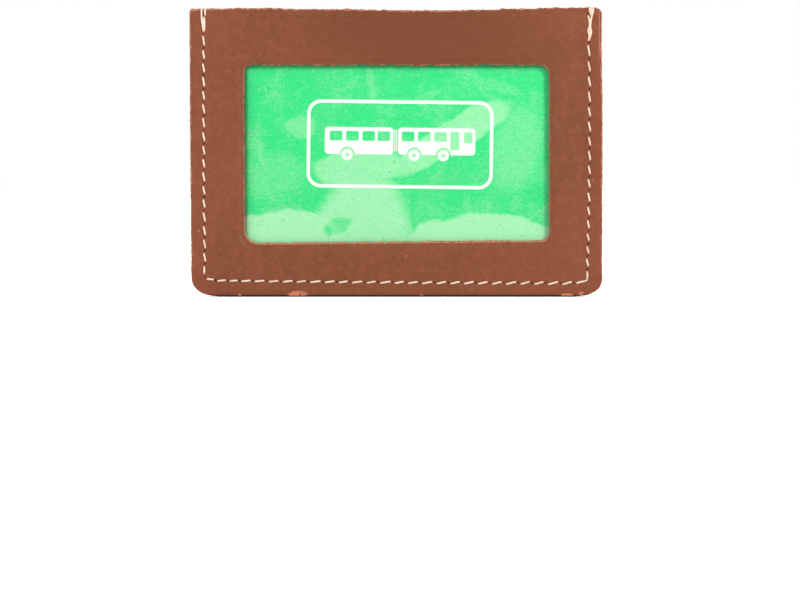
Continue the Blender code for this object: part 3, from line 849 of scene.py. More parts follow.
def leather_mesh(name, side, holes, windowed, counts, seed):
    """A leather as rows round its outline: a grid whose points are set row by row, joined end to end.
    It gets the attributes raw and hole_shade on its points."""
    hide = values("pass_hide")
    lap, slope = lap_width(), hide.window_slope
    rows = leather_rows()
    width = len(rows)
    around = 2 * (counts[0] + counts[1]) + 4 * counts[2]
    grid = {"x_subdivisions": width - 1, "y_subdivisions": around - 1, "size": HEIGHT}
    obj = primitive(bpy.ops.mesh.primitive_grid_add, **grid)
    obj.name = name
    outline = np.array([-HALF_WIDTH, 0, HALF_WIDTH, HEIGHT])
    window = np.array([-hide.window_side, hide.window_bottom, hide.window_side, hide.window_top])
    place = np.zeros((around, width, 3))
    raw = np.zeros((around, width))
    for j, (inset, depth) in enumerate(rows):
        part = inset / lap
        box = outline + (window - outline) * part
        ring = rounded_ring(box[:2], box[2:], OUTLINE_RADII + (WINDOW_RADII - OUTLINE_RADII) * part, counts)
        along = np.roll(ring, -1, axis=0) - np.roll(ring, 1, axis=0)
        along /= np.linalg.norm(along, axis=1)[:, None]
        out = np.stack([along[:, 1], -along[:, 0]], axis=1)
        spot = np.stack([ring[:, 0], np.full(around, side * depth * 1.4 * MM), ring[:, 1]], axis=1)
        # The knife leaned over, so the cut slants most at the window's lower edge
        upright = np.clip(0.9 * out[:, 1], 0, 1) + 0.65 * np.abs(out[:, 0])
        upright = np.clip(upright, 0, 0.92) * windowed
        if depth < 1:
            pulled = slope * smooth(lap - LIP, lap - slope, inset) if inset < lap - slope else lap - inset
            ring = ring - out * (upright * pulled)[:, None]
        # The mouth's edge is the roughest, because nothing but wear has smoothed it
        rough = 1 + 1.4 * smooth(0.6, 0.9, out[:, 1])
        stray = hide.edge_wander * rough * wander(spot, 5.5 * MM, seed + 2)
        nubs = wander(spot, 1.3 * MM, seed + 3) + 0.9 * wander(spot, 0.55 * MM, seed + 4)
        nubs *= hide.edge_nubs * rough
        near_edge = 1 - smooth(0, 1.2 * MM, inset)
        near_lip = (1 - smooth(0, 0.9 * MM, lap - inset)) * windowed
        rough_edge = stray * near_edge + nubs * near_edge**2 + (0.6 * stray + 1.1 * nubs) * near_lip
        x, z = (ring + out * rough_edge[:, None]).T
        # The window's lower edge rises to the right, and its right side stands a little further out
        lip = smooth(lap - 6 * MM, lap - LIP, inset) * windowed
        z = z + tilt(x, z) * lip
        x = x + 0.27 * MM * lip * smooth(20 * MM, 30 * MM, x)
        x, z = worn_shape(x, z)
        torn = np.zeros(around)
        for middle, half, tall in CHIPS:
            torn = np.maximum(torn, 1 - smooth(0.75, 1.1, np.hypot((x - middle) / half, z / tall)))
        torn *= 0.78 + 0.6 * wander(spot, 0.8 * MM, CHIP_SEED)
        face = detailed_face(x, z, holes, windowed, seed) - 0.14 * MM * torn
        inner = leather_inner(x, z)
        place[:, j] = np.stack([x, side * (face + (inner - face) * depth), z], axis=1)
        if (depth > 0.2 and inset < 0.5 * MM) or (depth > 0.01 and windowed and inset > lap - 0.5 * MM):
            raw[:, j] = 1.0
        elif depth < 0.5:
            # The torn fringe comes and goes along the edge, and is worn off round the bottom corners and at
            # the right of the mouth
            reach = (0.66 + 0.9 * wander(spot, 2.3 * MM, FRINGE_SEED)) * (0.45 + 0.55 * smooth(0, 12 * MM, z))
            reach = 0.50 * MM * np.clip(reach, 0.12, 1.2)
            fringe = 1.05 * (1 - smooth(0.06 * MM, reach + 0.06 * MM, inset))
            fringe *= 1 - 0.6 * smooth(5 * MM, 25 * MM, x) * smooth(64 * MM, 69 * MM, z)
            lips = np.where(out[:, 1] < -0.6, 0.55, 0.14) * windowed
            lips *= 1 - smooth(0.35 * MM, 0.70 * MM, lap - inset)
            raw[:, j] = np.maximum(np.maximum(2 * torn, fringe), lips)
    obj.data.vertices.foreach_set("co", place.reshape(-1))
    mark(obj, "raw", raw)
    mark(obj, "hole_shade", np.zeros_like(raw))
    bm = bmesh.new()
    bm.from_mesh(obj.data)
    bm.verts.ensure_lookup_table()
    last = (around - 1) * width
    joins = [(last + j, j, j + 1, last + j + 1) for j in range(width - 1)]
    if windowed:
        ends = [(i * width + width - 1, (i + 1) % around * width + width - 1) for i in range(around)]
        joins += [(a, b, b - width + 1, a - width + 1) for a, b in ends]
    for corners in joins:
        bm.faces.new([bm.verts[n] for n in corners])
    bm.to_mesh(obj.data)
    bm.free()
    return obj


def fill_middle(obj, counts, side, holes, seed):
    """Takes away the window's walls and closes the leather over them: a grid on its face, one face inside."""
    wide, tall, turn = counts
    around = 2 * (wide + tall) + 4 * turn
    rows = leather_rows()
    width = len(rows)
    inner_row = max(j for j, (_, depth) in enumerate(rows) if depth == 1.0)
    bm = bmesh.new()
    bm.from_mesh(obj.data)
    bm.verts.ensure_lookup_table()
    ring = [bm.verts[i * width] for i in range(around)]
    inner_ring = [bm.verts[i * width + inner_row] for i in range(around)]
    extra = [bm.verts[i * width + j] for i in range(around) for j in range(inner_row + 1, width)]
    bmesh.ops.delete(bm, geom=extra, context="VERTS")
    across, up = wide + turn, tall + turn
    start = -turn // 2
    low_right, top_left = start + across, start + 2 * across + up
    bottom = [ring[(start + i) % around] for i in range(across + 1)]
    right = [ring[(low_right + i) % around] for i in range(up + 1)]
    top = [ring[(top_left - i) % around] for i in range(across + 1)]
    left = [ring[(start - i) % around] for i in range(up + 1)]
    # A smooth sheet between the four sides
    u = np.arange(across + 1)[:, None, None] / across
    v = np.arange(up + 1)[None, :, None] / up
    b, t, l, r = (np.array([[p.co.x, p.co.z] for p in line]) for line in (bottom, top, left, right))
    flat = (1 - v) * b[:, None] + v * t[:, None] + (1 - u) * l[None] + u * r[None]
    flat -= (1 - u) * (1 - v) * b[0] + u * (1 - v) * b[-1] + (1 - u) * v * t[0] + u * v * t[-1]
    x, z = flat.reshape(-1, 2).T
    y = side * detailed_face(x, z, holes, False, seed)
    grid = {}
    for i in range(across + 1):
        grid[i, 0], grid[i, up] = bottom[i], top[i]
    for k in range(1, up):
        grid[0, k], grid[across, k] = left[k], right[k]
    for i in range(1, across):
        for k in range(1, up):
            n = i * (up + 1) + k
            grid[i, k] = bm.verts.new((x[n], y[n], z[n]))
    for i in range(across):
        for k in range(up):
            bm.faces.new((grid[i, k], grid[i + 1, k], grid[i + 1, k + 1], grid[i, k + 1]))
    bm.faces.new(inner_ring)
    bm.to_mesh(obj.data)
    bm.free()


def slit_cutter(holes, near, far):
    """Closed slits at all the holes, from depth near to depth far."""
    hide = values("pass_hide")
    model = disc(0.5, 1, (0, 0, 0), 14)
    copies = []
    source = random.Random(SLIT_SEED)
    for hole, long_way in zip(holes, slit_directions(holes)):
        part = source.uniform(0.62, 1.0)
        copy = linked("slit", model.data.copy())
        turn = Matrix.Rotation(-math.atan2(long_way.y, long_way.x), 4, "Y")
        size = Matrix.Diagonal((hide.slit_length * part, far - near, hide.slit_width * part, 1))
        copy.data.transform(Matrix.Translation((hole.x, (near + far) / 2, hole.y)) @ turn @ size)
        copies.append(copy)
    bpy.data.objects.remove(model)
    return join(copies, "slits")


def paint_hole_shade(obj, holes, side):
    """Sets the attribute hole_shade, a painted shade that deepens down the walls and floor of the needle
    slits, and none on their rims.
    """
    hide = values("pass_hide")
    x, y, z = places(obj).T
    inside = np.zeros(len(x), dtype=bool)
    for hole, long_way in zip(holes, slit_directions(holes)):
        along = ((x - hole.x) * long_way.x + (z - hole.y) * long_way.y) / (hide.slit_length / 2)
        across = ((x - hole.x) * long_way.y - (z - hole.y) * long_way.x) / (hide.slit_width / 2)
        inside |= np.hypot(along, across) < 1.04
    raw = np.zeros(len(x))
    obj.data.attributes["raw"].data.foreach_get("value", raw)
    mark(obj, "raw", np.where(inside, 0, raw))
    mark(obj, "hole_shade", inside * smooth(0.12 * MM, 0.40 * MM, leather_face(x, z) - side * y))


def make_leather(name, node, side, seed, hide_material, flesh_material):
    """One leather with its needle slits, dressed in hide outside and nap inside."""
    hide = values("pass_hide")
    windowed = side == FRONT
    step = hide.mesh_step * (1 if windowed else 1.45)
    counts = (round(2 * HALF_WIDTH / step), round(HEIGHT / step), 10)
    holes = seam_holes()
    obj = leather_mesh(name, side, holes, windowed, counts, seed)
    if not windowed:
        fill_middle(obj, counts, side, holes, seed)
    finish_edit(obj, 60)
    depths = sorted((side * (hide.seam_face - 0.50 * MM), side * (PLATEAU + 1 * MM)))
    cut(obj, slit_cutter(holes, *depths))
    paint_hole_shade(obj, holes, side)
    finish_edit(obj, 60)
    obj.data.materials.append(hide_material)
    obj.data.materials.append(flesh_material)
    for face in obj.data.polygons:
        x, y, z = face.center
        napped = side * y < leather_inner(x, z) + 0.02 * MM and side * face.normal.y < -0.5
        face.material_index = 1 if napped else 0
    return finished(obj, name, "holder", "leather", node)


# Threads


def spline_points(knots, step):
    """Points about step apart on a smooth curve through knots, each a place and a share of the width."""
    rows = np.array([[*place, part] for place, part in knots])
    rows = np.concatenate([2 * rows[:1] - rows[1:2], rows, 2 * rows[-1:] - rows[-2:-1]])
    points = []
    for a, b, c, d in zip(rows, rows[1:], rows[2:], rows[3:]):
        count = max(2, int(np.linalg.norm((c - b)[:3]) / step))
        t = (np.arange(count) / count)[:, None]
        bend = (2 * a - 5 * b + 4 * c - d) * t**2 + (3 * b - a - 3 * c + d) * t**3
        points.append(0.5 * (2 * b + (c - a) * t + bend))
    points.append(rows[-2:-1])
    return np.concatenate(points)


def twisted_thread(name, strands, side):
    """Strands of thread, each twisted from its yarns, as one mesh."""
    thread = values("pass_thread")
    yarn = thread.width / 2 / (1 + 2 / math.sqrt(3))
    reach = thread.width / 2 - yarn
    curve = bpy.data.curves.new(name, "CURVE")
    curve.dimensions = "3D"
    curve.bevel_depth = yarn * 1.08
    curve.bevel_resolution = 1
    curve.use_fill_caps = True
    for knots in strands:
        points = spline_points(knots, 0.13 * MM)
        middle, part = points[:, :3], points[:, 3]
        along = np.gradient(middle, axis=0)
        along /= np.linalg.norm(along, axis=1)[:, None]
        turn = np.zeros(len(middle))
        turn[1:] = np.cumsum(np.linalg.norm(np.diff(middle, axis=0), axis=1)) * 2 * math.pi / thread.twist
        # The sideways direction is carried along the strand without turning about it
        normal = np.zeros_like(middle)
        first = np.cross(along[0], (0.3, 0.2, 0.9))
        normal[0] = first / np.linalg.norm(first)
        for i in range(1, len(middle)):
            moved = normal[i - 1] - along[i] * np.dot(normal[i - 1], along[i])
            normal[i] = moved / np.linalg.norm(moved)
        other = np.cross(along, normal)
        for ply in range(thread.plies):
            angle = turn + 2 * math.pi * ply / thread.plies
            off = normal * np.cos(angle)[:, None] + other * np.sin(angle)[:, None]
            path = middle + off * (reach * part)[:, None]
            line = curve.splines.new("POLY")
            line.points.add(len(path) - 1)
            line.points.foreach_set("co", np.concatenate([path, np.ones((len(path), 1))], axis=1).reshape(-1))
            line.points.foreach_set("radius", part)
    activate(linked(name, curve))
    bpy.ops.object.convert(target="MESH")
    obj = bpy.context.active_object
    bpy.ops.object.shade_smooth()
    x, y, z = places(obj).T
    sunk = 1 - smooth(-0.34 * MM, 0.24 * MM, side * y - leather_face(x, z))
    mark(obj, "sunk", sunk * (1 - smooth(HEIGHT - 1.8 * MM, HEIGHT - 1.0 * MM, z)))
    return obj


def knot(side, spot, lift, part=1.0):
    """A place on a strand: over the leather's face by lift, at a spot in X-Z."""
    return (spot.x, side * (leather_face(spot.x, spot.y) + lift), spot.y), part


def stitch(side, start, end, gaps, slants):
    """The knots of one stitch, up out of a hole, over the leather and down into the next.
    gaps and slants are for its two ends, as shares of the usual end gap and slant."""
    thread = values("pass_thread")
    along = (end - start).normalized()
    out = Vector((along.y, -along.x)) * thread.slant
    low = start + out * slants[0] + along * thread.end_gap * gaps[0]
    high = end - out * slants[1] - along * thread.end_gap * gaps[1]
    # How it rises at each end: distance along it in mm, height over the face and share of the width
    rise = ((-0.12, -0.62 * MM, 0.66), (0.04, -0.16 * MM, 0.9), (0.36, thread.sink, 1.0))
    return [
        knot(side, start + out * 0.3, -1.05 * MM, 0.5),
        *[knot(side, low + along * run * MM, lift, part) for run, lift, part in rise],
        knot(side, (low + high) / 2, thread.sink + 0.03 * MM, 1.04),
        *[knot(side, high - along * run * MM, lift, part) for run, lift, part in rise[::-1]],
        knot(side, end - out * 0.3, -1.05 * MM, 0.5),
    ]


def seam_stitches(side, holes):
    """The knots of the seam, one stitch after another. The first hole and the last two hold other strands."""
    sink = values("pass_thread").sink
    steps = [b - a for a, b in zip(holes, holes[1:])]
    low_left, low_right = [i for i in range(2, len(holes) - 3) if steps[i - 1].angle(steps[i]) > 0.6][:2]
    corner = holes[low_right]
    seam = []
    for i in range(1, len(holes) - 3):
        gaps, slants = (1.0, 1.0), (0.85, 0.85)
        if i > low_right:
            gaps, slants = (1.12, 1.12), (0.95, 0.95)
        elif i > low_left:
            # The stitches slant more and more along the bottom, and the first ones are long for their holes
            slants = [0.4 + 1.2 * (i - low_left) / (low_right - low_left)] * 2
            gaps = (0.90, 0.90) if i > low_left + 3 else (0.74, 0.74)
        at_corners = {
            low_left - 1: ((1.0, 1.35), (0.7, -1.0)),
            low_left: ((0.85, 0.85), (1.3, 0.0)),
            low_right - 1: (gaps, (0.4, 1.0)),
            low_right: (gaps, (1.0, -0.2)),
        }
        knots = stitch(side, holes[i], holes[i + 1], *at_corners.get(i, (gaps, slants)))
        # This strand bends round the right corner without a hole
        if i + 1 == low_right:
            bend = [corner + Vector((-0.56 * MM, -0.04 * MM)), corner + Vector((-0.06 * MM, 0.14 * MM))]
            knots = knots[:5] + [knot(side, spot, sink, 0.95) for spot in bend]
        if i == low_right:
            knots = [knot(side, corner + Vector((0.10 * MM, 0.60 * MM)), sink, 0.95)] + knots[4:]
        seam += knots
    return seam


def seam_strands(side):
    """All strands of one face: the seam itself, and the strands over the mouth and doubled at both ends."""
    holes = seam_holes()
    first, second, third, last = holes[0], holes[1], holes[-3], holes[-1]
    left, right = second.x, holes[-2].x

    def at(x, down, lift, part=1.0):
        """A place on the face, down from the mouth."""
        return knot(side, Vector((x, HEIGHT - down * MM)), lift * MM, part)

    def over(x, rise):
        """Over the mouth's edge and on to the face."""
        face = leather_face(x, HEIGHT)
        run = (
            (0.10 * MM, 0, 0.9),
            (face * 0.6, 0.02, 1.0),
            (face + 0.06 * MM, -0.24, 1.0),
            (face + 0.22 * MM, -0.75, 1.0),
        )
        return [((x, side * y, HEIGHT + (rise + up) * MM), part) for y, up, part in run]

    def into(hole, x, z):
        """Down into a hole beside its middle."""
        spot = hole + Vector((x * MM, z * MM))
        run = ((spot, -0.12, 0.88), (spot * 0.7 + hole * 0.3, -0.62, 0.66), (hole, -1.05, 0.5))
        return [knot(side, place, lift * MM, part) for place, lift, part in run]

    # Left end: two strands come over the mouth. The inner one ends in the first hole and starts again below
    # it, and the outer one joins it there and both go down in the second hole.
    inner = over(left + 0.36 * MM, -0.42) + into(first, 0.46, -0.05)
    outer = over(left - 0.50 * MM, -0.42)
    outer += [at(left - 0.46 * MM, 2.4, 0.15), at(left - 0.24 * MM, 4.2, 0.20, 1.08)]
    again = [at(left + 0.14 * MM, 2.9, 0.10, 1.15), at(left + 0.18 * MM, 4.3, 0.14, 1.15)]
    strands = [seam_stitches(side, holes), inner, outer + into(second, -0.04, 0.58)]
    strands.append(into(first, 0.22, -0.45)[::-1] + again + into(second, 0.16, 0.58))
    # Right end: two strands come over the mouth and close up. The inner one ends under the outer one, and a
    # third comes out of the last hole. Two run on over the next hole as a short doubled stitch.
    for start, middle, end in ((-0.04, 0.06, 0.30), (0.38, 0.40, 0.46)):
        run = ((middle, 1.2, 0.10, 1.0), (end, 1.8, 0.0, 0.9), (end + 0.04, 2.2, -0.6, 0.6))
        strands.append(over(right + start * MM, -0.06) + [at(right + x * MM, *rest) for x, *rest in run])
    outer_run = (
        (0.68, 1.1, 0.20, 1.0),
        (0.52, 1.9, 0.18, 1.0),
        (0.26, 3.0, 0.14, 1.0),
        (0.12, 4.3, 0.10, 0.95),
        (0.14, 4.9, 0.12, 1.0),
        (0.26, 5.8, 0.16, 1.25),
        (0.12, 6.8, 0.14, 1.0),
    )
    inner_run = (
        (-0.34, 2.15, 0.02, 0.9),
        (-0.20, 2.8, 0.10, 1.0),
        (-0.08, 3.6, 0.10, 1.0),
        (-0.10, 4.4, 0.04, 0.9),
        (-0.34, 5.6, 0.10, 1.20),
        (-0.16, 6.7, 0.10, 1.0),
    )
    for start, run, off in (
        (over(right + 0.82 * MM, -0.02), outer_run, 0.1),
        (into(last, 0.0, -0.30)[::-1], inner_run, -0.1),
    ):
        strands.append(start + [at(right + x * MM, *rest) for x, *rest in run] + into(third, off, 0.55))
    return strands


# Cut edge fibres


def fibre_model():
    """One short fibre along +Z, thinning to its tip, with two rings between that let it curl."""
    cone = {"vertices": 3, "radius1": 0.5, "radius2": 0.08, "depth": 1, "location": (0, 0, 0.5)}
    obj = settle(primitive(bpy.ops.mesh.primitive_cone_add, **cone))
    bpy.ops.object.mode_set(mode="EDIT")
    for height in (0.34, 0.67):
        bpy.ops.mesh.select_all(action="SELECT")
        bpy.ops.mesh.bisect(plane_co=(0, 0, height), plane_no=(0, 0, 1))
    bpy.ops.object.mode_set(mode="OBJECT")
    return obj


def edge_fibres():
    """Tiny fibres along the cut edges of both leathers and round the window, as one mesh."""
    hide = values("pass_hide")
    model = fibre_model()
    shape = places(model)
    faces = [tuple(face.vertices) for face in model.data.polygons]
    bpy.data.objects.remove(model)
    source = random.Random(FIBRE_SEED)
    counts = (600, 420, 20)
    outline = rounded_ring((-HALF_WIDTH, 0), (HALF_WIDTH, HEIGHT), OUTLINE_RADII, counts)
    low, high = (-hide.window_side, hide.window_bottom), (hide.window_side, hide.window_top)
    lip = rounded_ring(low, high, np.full(4, WINDOW_RADIUS), counts)
    points, made = [], []
    jobs = [(outline, 1, FRONT)] * 900 + [(outline, 1, BACK)] * 900 + [(lip, -1, FRONT)] * 520
    for ring, outwards, side in jobs:
        i = source.randrange(len(ring))
        ahead = ring[(i + 1) % len(ring)] - ring[i - 1]
        ahead = ahead / np.linalg.norm(ahead)
        out = np.array([ahead[1], -ahead[0]]) * outwards
        x, z = worn_shape(*(ring[i] - out * 0.10 * MM))
        depth = source.random() ** 1.6
        outer = leather_face(x, z) - 0.12 * MM - (hide.rim_drop if ring is lip else 0)
        y = side * (outer + (leather_inner(x, z) + 0.1 * MM - outer) * depth)
        aim = Vector((out[0], 0, out[1])) * source.uniform(0.5, 1.2)
        aim += Vector((ahead[0], 0, ahead[1])) * source.uniform(-0.9, 0.9)
        aim += Vector((0, side * source.uniform(-0.3, 0.5), 0))
        turn = aim.to_track_quat("Z", "Y").to_matrix()
        size = source.uniform(0.16, 0.36) * MM * (0.8 if ring is lip else 1.0)
        thick = source.uniform(0.07, 0.14) * MM
        local = shape * (thick, thick, size)
        local[:, 0] += source.uniform(-0.5, 0.5) * size * shape[:, 2] ** 2
        placed = local @ np.array(turn).T + (x, y, z)
        # None sticks into the floor
        if placed[:, 2].min() < 0:
            continue
        made.extend(tuple(len(points) + n for n in face) for face in faces)
        points.extend(placed.tolist())
    mesh = bpy.data.meshes.new("cut_edge_fibres")
    mesh.from_pydata(points, [], made)
    return linked("cut_edge_fibres", mesh)


# Card, film and marks


def plate(width, height, thickness, radius, centre=(0, 0, 0), segments=8):
    """A plate facing -Y with rounded corners."""
    obj = primitive(bpy.ops.mesh.primitive_cube_add, size=1, location=centre)
    obj.scale = (width, thickness, height)
    settle(obj)
    if radius:
        bpy.ops.object.mode_set(mode="EDIT")
        bpy.ops.mesh.select_mode(type="EDGE")
        bpy.ops.mesh.select_all(action="DESELECT")
        bpy.ops.object.mode_set(mode="OBJECT")
        for edge in obj.data.edges:
            a, b = (obj.data.vertices[i].co for i in edge.vertices)
            edge.select = abs(a.y - b.y) > thickness / 2
        bpy.ops.object.mode_set(mode="EDIT")
        bpy.ops.mesh.bevel(offset=radius, segments=segments, affect="EDGES")
        bpy.ops.object.mode_set(mode="OBJECT")
    return obj


def disc(radius, thickness, centre, sides=40):
    """A round plate facing -Y."""
    size = {"vertices": sides, "radius": radius, "depth": thickness}
    return settle(primitive(bpy.ops.mesh.primitive_cylinder_add, location=centre, rotation=UPRIGHT, **size))


def bus_mark(unit, thickness):
    """A side view of a plain bus in two linked sections, 36 units long and 8 high, round the origin."""
    deep = thickness * 3

    def panel(x, z, width, height, radius, through, segments=4):
        return plate(width * unit, height * unit, through, radius * unit, (x * unit, 0, z * unit), segments)

    def wheel(x, z, radius, through, sides=40):
        return disc(radius * unit, through, (x * unit, 0, z * unit), sides)

    body = [panel((a + b) / 2, 0.75, b - a, 6.5, 0.9, thickness, 8) for a, b in ((-18.0, -1.6), (-0.5, 18.0))]
    openings = [panel(x, 1.9, 3.0, 2.3, 0.35, deep) for x in (-15.3, -11.4, -7.5, -3.9, 1.9, 5.8, 9.7)]
    openings += [panel(13.1, 0.95, 2.1, 4.4, 0.35, deep), panel(16.3, 1.75, 2.0, 2.6, 0.35, deep)]
    axles = (-12.6, 3.4, 10.4)
    openings += [wheel(x, -2.4, 1.75, deep) for x in axles]
    shell = join(body, "bus")
    for opening in openings:
        cut(shell, opening)
    wheels = [cut(wheel(x, -2.6, 1.35, thickness), wheel(x, -2.6, 0.45, deep, 24)) for x in axles]
    folds = [panel(x, 0.9, 0.22, 5.2, 0, thickness) for x in (-1.25, -0.85)]
    return join([shell] + wheels + folds, "bus")


def place_mark(obj, centre, thickness, turn=0.0, flip=False):
    """Brings a mark, modelled 1 mm thick, to its thickness and place, and turns it to the back if asked."""
    obj.rotation_euler = (0, turn, math.pi if flip else 0)
    obj.scale = (1, thickness / MM, 1)
    obj.location = centre
    return finish_edit(settle(obj), 30)


def film_mesh():
    """The film as a sheet that follows the pocket, with its lower corners drawn in."""
    hide = values("pass_hide")
    grid = {"x_subdivisions": 130, "y_subdivisions": 92, "size": 1, "rotation": UPRIGHT}
    obj = primitive(bpy.ops.mesh.primitive_grid_add, **grid)
    obj.scale = (FILM_HIGH.x - FILM_LOW.x, FILM_HIGH.z - FILM_LOW.z, 1)
    obj.location = ((FILM_LOW.x + FILM_HIGH.x) / 2, 0, (FILM_LOW.z + FILM_HIGH.z) / 2)
    settle(obj)
    x, _, z = places(obj).T
    # The lower corners are drawn in to stay inside the leathers' rounded ones
    radius, drawn_in = 4.2 * MM, 3.5 * MM
    for end in (-1, 1):
        corner = end * (HALF_WIDTH - radius)
        off = np.hypot(x - corner, z - radius)
        outside = (end * (x - corner) > 0) & (z < radius) & (off > drawn_in)
        pull = np.where(outside, drawn_in / np.maximum(off, 1e-6), 1)
        x = corner + (x - corner) * pull
        z = radius + (z - radius) * pull
    ramp = smooth(hide.ramp_foot + 0.6 * MM, hide.ramp_head - 0.6 * MM, seam_distance(x, z))
    points = np.stack([x, np.zeros_like(x), z], axis=1)
    level = FILM_LOW.y + FILM_THICKNESS / 2
    points[:, 1] = level * ramp + 0.015 * MM * wander(points, 16 * MM, FILM_SEED)
    obj.data.vertices.foreach_set("co", points.reshape(-1))
    # A little thinner than its solid
    apply(obj, "SOLIDIFY", thickness=FILM_THICKNESS - 0.04 * MM, offset=0, use_even_offset=False)
    return finish_edit(obj, 50)


# Operators


class PASSHOLDER_OT_stage(bpy.types.Operator):
    """Adds the floor, the lights, the even surround and the camera"""

    bl_idname = "passholder.stage"
    bl_label = "Stage"

    def execute(self, context):
        stage = values("pass_stage")
        circle = {"vertices": 96, "radius": stage.floor_radius, "fill_type": "NGON"}
        floor = primitive(bpy.ops.mesh.primitive_circle_add, **circle)
        floor.name = "floor"
        floor.data.materials.append(matt_white_paint())

        for name, offset, size, watts in (
            ("key_light", Vector((1.12, -1.28, 0.92)), 0.46, stage.key_watts),
            ("fill_light", Vector((-1.40, -1.15, 0.35)), 1.3, stage.fill_watts),
            ("back_light", Vector((-1.00, 1.30, 0.95)), 0.9, stage.back_watts),
        ):
            bpy.ops.object.light_add(type="AREA", location=Vector((0, 0, HEIGHT / 2)) + offset)
            lamp = context.active_object
            lamp.name = name
            lamp.data.shape = "DISK"
            lamp.data.size = size
            lamp.data.energy = watts
            lamp.rotation_euler = (-offset).to_track_quat("-Z", "Y").to_euler()

        world = bpy.data.worlds.new("even_surround")
        context.scene.world = world
        world.use_nodes = True
        add = partial(add_node, world.node_tree)
        strength = add("number", seen_directly(add), stage.surround, 1)
        fill(world.node_tree.nodes["Background"], {"Color": (1, 1, 1, 1), "Strength": strength})

        aim = Vector((stage.aim_x, 0, stage.aim_z))
        eye = Vector((stage.aim_x, 0, HEIGHT / 2))
        eye.y = -math.sqrt(stage.distance**2 - (aim.z - eye.z) ** 2)
        bpy.ops.object.camera_add(location=eye)
        camera = context.active_object
        camera.name = "camera"
        camera.rotation_euler = (aim - eye).to_track_quat("-Z", "Y").to_euler()
        camera.data.lens = stage.lens
        camera.data.sensor_width = 36
        camera.data.clip_start = 0.01
        context.scene.camera = camera
        context.scene.view_settings.view_transform = "Standard"
        return {"FINISHED"}


class PASSHOLDER_OT_leathers(bpy.types.Operator):
    """Makes the front leather with its window and the plain back leather"""

    bl_idname = "passholder.leathers"
    bl_label = "Leathers"

    def execute(self, context):
        surfaces = dyed_cowhide(), napped_flesh_side()
        make_leather("front_leather", "front_panel", FRONT, FRONT_SEED, *surfaces)
        make_leather("back_leather", "back_panel", BACK, BACK_SEED, *surfaces)
        return {"FINISHED"}


class PASSHOLDER_OT_edge_fibres(bpy.types.Operator):
    """Makes the torn fibres along the cut edges"""

    bl_idname = "passholder.edge_fibres"
    bl_label = "Cut edge fibres"

    def execute(self, context):
        fibres = finish_edit(edge_fibres(), 60)
        finished(fibres, "cut_edge_fibres", "holder", "leather", material=torn_hide_fibres())
        return {"FINISHED"}


class PASSHOLDER_OT_threads(bpy.types.Operator):
    """Makes the thread of both faces"""

    bl_idname = "passholder.threads"
    bl_label = "Threads"

    def execute(self, context):
        linen = waxed_linen_thread()
        threads = ("front_thread", "needle_thread", FRONT), ("back_thread", "bobbin_thread", BACK)
        for name, node, side in threads:
            obj = twisted_thread(name, seam_strands(side), side)
            finished(obj, name, "holder", "thread", node, material=linen)
        return {"FINISHED"}


class PASSHOLDER_OT_film(bpy.types.Operator):
    """Makes the clear window film"""

    bl_idname = "passholder.film"
    bl_label = "Window film"

    def execute(self, context):
        film = film_mesh()
        finished(film, "clear_window_film", "holder", "film", "window_film", material=calendered_pvc_film())
        return {"FINISHED"}


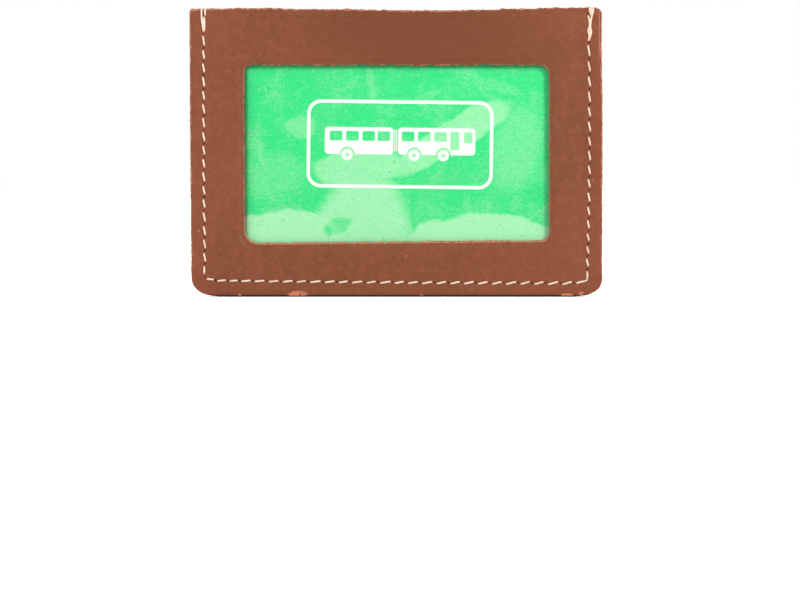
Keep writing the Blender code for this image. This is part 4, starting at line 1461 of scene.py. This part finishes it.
class PASSHOLDER_OT_card(bpy.types.Operator):
    """Makes the green card with its printed frame and bus"""

    bl_idname = "passholder.card"
    bl_label = "Pass card"

    def execute(self, context):
        card = values("pass_card_values")
        width, thickness, height = CARD_HIGH - CARD_LOW
        obj = plate(width, height, thickness, CARD_RADIUS, (CARD_LOW + CARD_HIGH) / 2, 14)
        apply(obj, "BEVEL", width=0.06 * MM, segments=2, limit_method="ANGLE", angle_limit=math.radians(60))
        finish_edit(obj, 40)
        obj.data.materials.append(offset_printed_pvc())
        obj.data.materials.append(die_cut_pvc_edge())
        for face in obj.data.polygons:
            face.material_index = 0 if abs(face.normal.y) > 0.9 else 1
        finished(obj, "green_card", "card", "card", "pass_card")

        ink = white_screen_ink()
        layer = 0.02 * MM
        spot = (card.frame_centre_x, CARD_LOW.y - layer / 2, card.frame_centre_z)
        stroke = card.frame_stroke
        rule = plate(card.frame_width, card.frame_height, MM, card.frame_radius, segments=14)
        inside = card.frame_width - 2 * stroke, card.frame_height - 2 * stroke
        cut(rule, plate(*inside, 3 * MM, card.frame_radius - stroke, segments=14))
        bus = bus_mark(card.bus_width / 36, MM)
        for printed, name in ((rule, "printed_frame"), (bus, "printed_bus")):
            place_mark(printed, spot, layer, card.print_turn)
            finished(printed, name, "card", "card", material=ink)
        return {"FINISHED"}


class PASSHOLDER_OT_foil(bpy.types.Operator):
    """Makes the foil mark pressed into the back"""

    bl_idname = "passholder.foil"
    bl_label = "Foil mark"

    def execute(self, context):
        foil = values("pass_foil")
        layer = 0.03 * MM
        spot = (0, PLATEAU + layer / 2 - 0.01 * MM, foil.height)
        bus = place_mark(bus_mark(foil.bus_width / 36, MM), spot, layer, flip=True)
        finished(bus, "foil_bus", "holder", "leather", material=hot_stamped_foil())
        return {"FINISHED"}


class PASSHOLDER_PT_panel(bpy.types.Panel):
    """Lists the operators and the values"""

    bl_idname = "PASSHOLDER_PT_panel"
    bl_label = "Pass Holder"
    bl_space_type = "VIEW_3D"
    bl_region_type = "UI"
    bl_category = "Pass Holder"

    def draw(self, context):
        for operator in OPERATORS:
            self.layout.operator(operator.bl_idname)
        for name, group in VALUES.items():
            box = self.layout.box()
            box.label(text=group.__doc__)
            for item in group.__annotations__:
                box.prop(getattr(context.scene, name), item)


VALUES = {
    "pass_hide": HideValues,
    "pass_thread": ThreadValues,
    "pass_film": FilmValues,
    "pass_card_values": CardValues,
    "pass_foil": FoilValues,
    "pass_stage": StageValues,
}
OPERATORS = (
    PASSHOLDER_OT_stage,
    PASSHOLDER_OT_leathers,
    PASSHOLDER_OT_edge_fibres,
    PASSHOLDER_OT_threads,
    PASSHOLDER_OT_film,
    PASSHOLDER_OT_card,
    PASSHOLDER_OT_foil,
)


def register():
    for name, group in VALUES.items():
        bpy.utils.register_class(group)
        setattr(bpy.types.Scene, name, PointerProperty(type=group))
    for item in (*OPERATORS, PASSHOLDER_PT_panel):
        bpy.utils.register_class(item)


def unregister():
    for item in (*OPERATORS, PASSHOLDER_PT_panel):
        bpy.utils.unregister_class(item)
    for name, group in VALUES.items():
        delattr(bpy.types.Scene, name)
        bpy.utils.unregister_class(group)


def main():
    register()
    for operator in OPERATORS:
        family, action = operator.bl_idname.split(".")
        getattr(getattr(bpy.ops, family), action)()


if __name__ == "__main__":
    main()
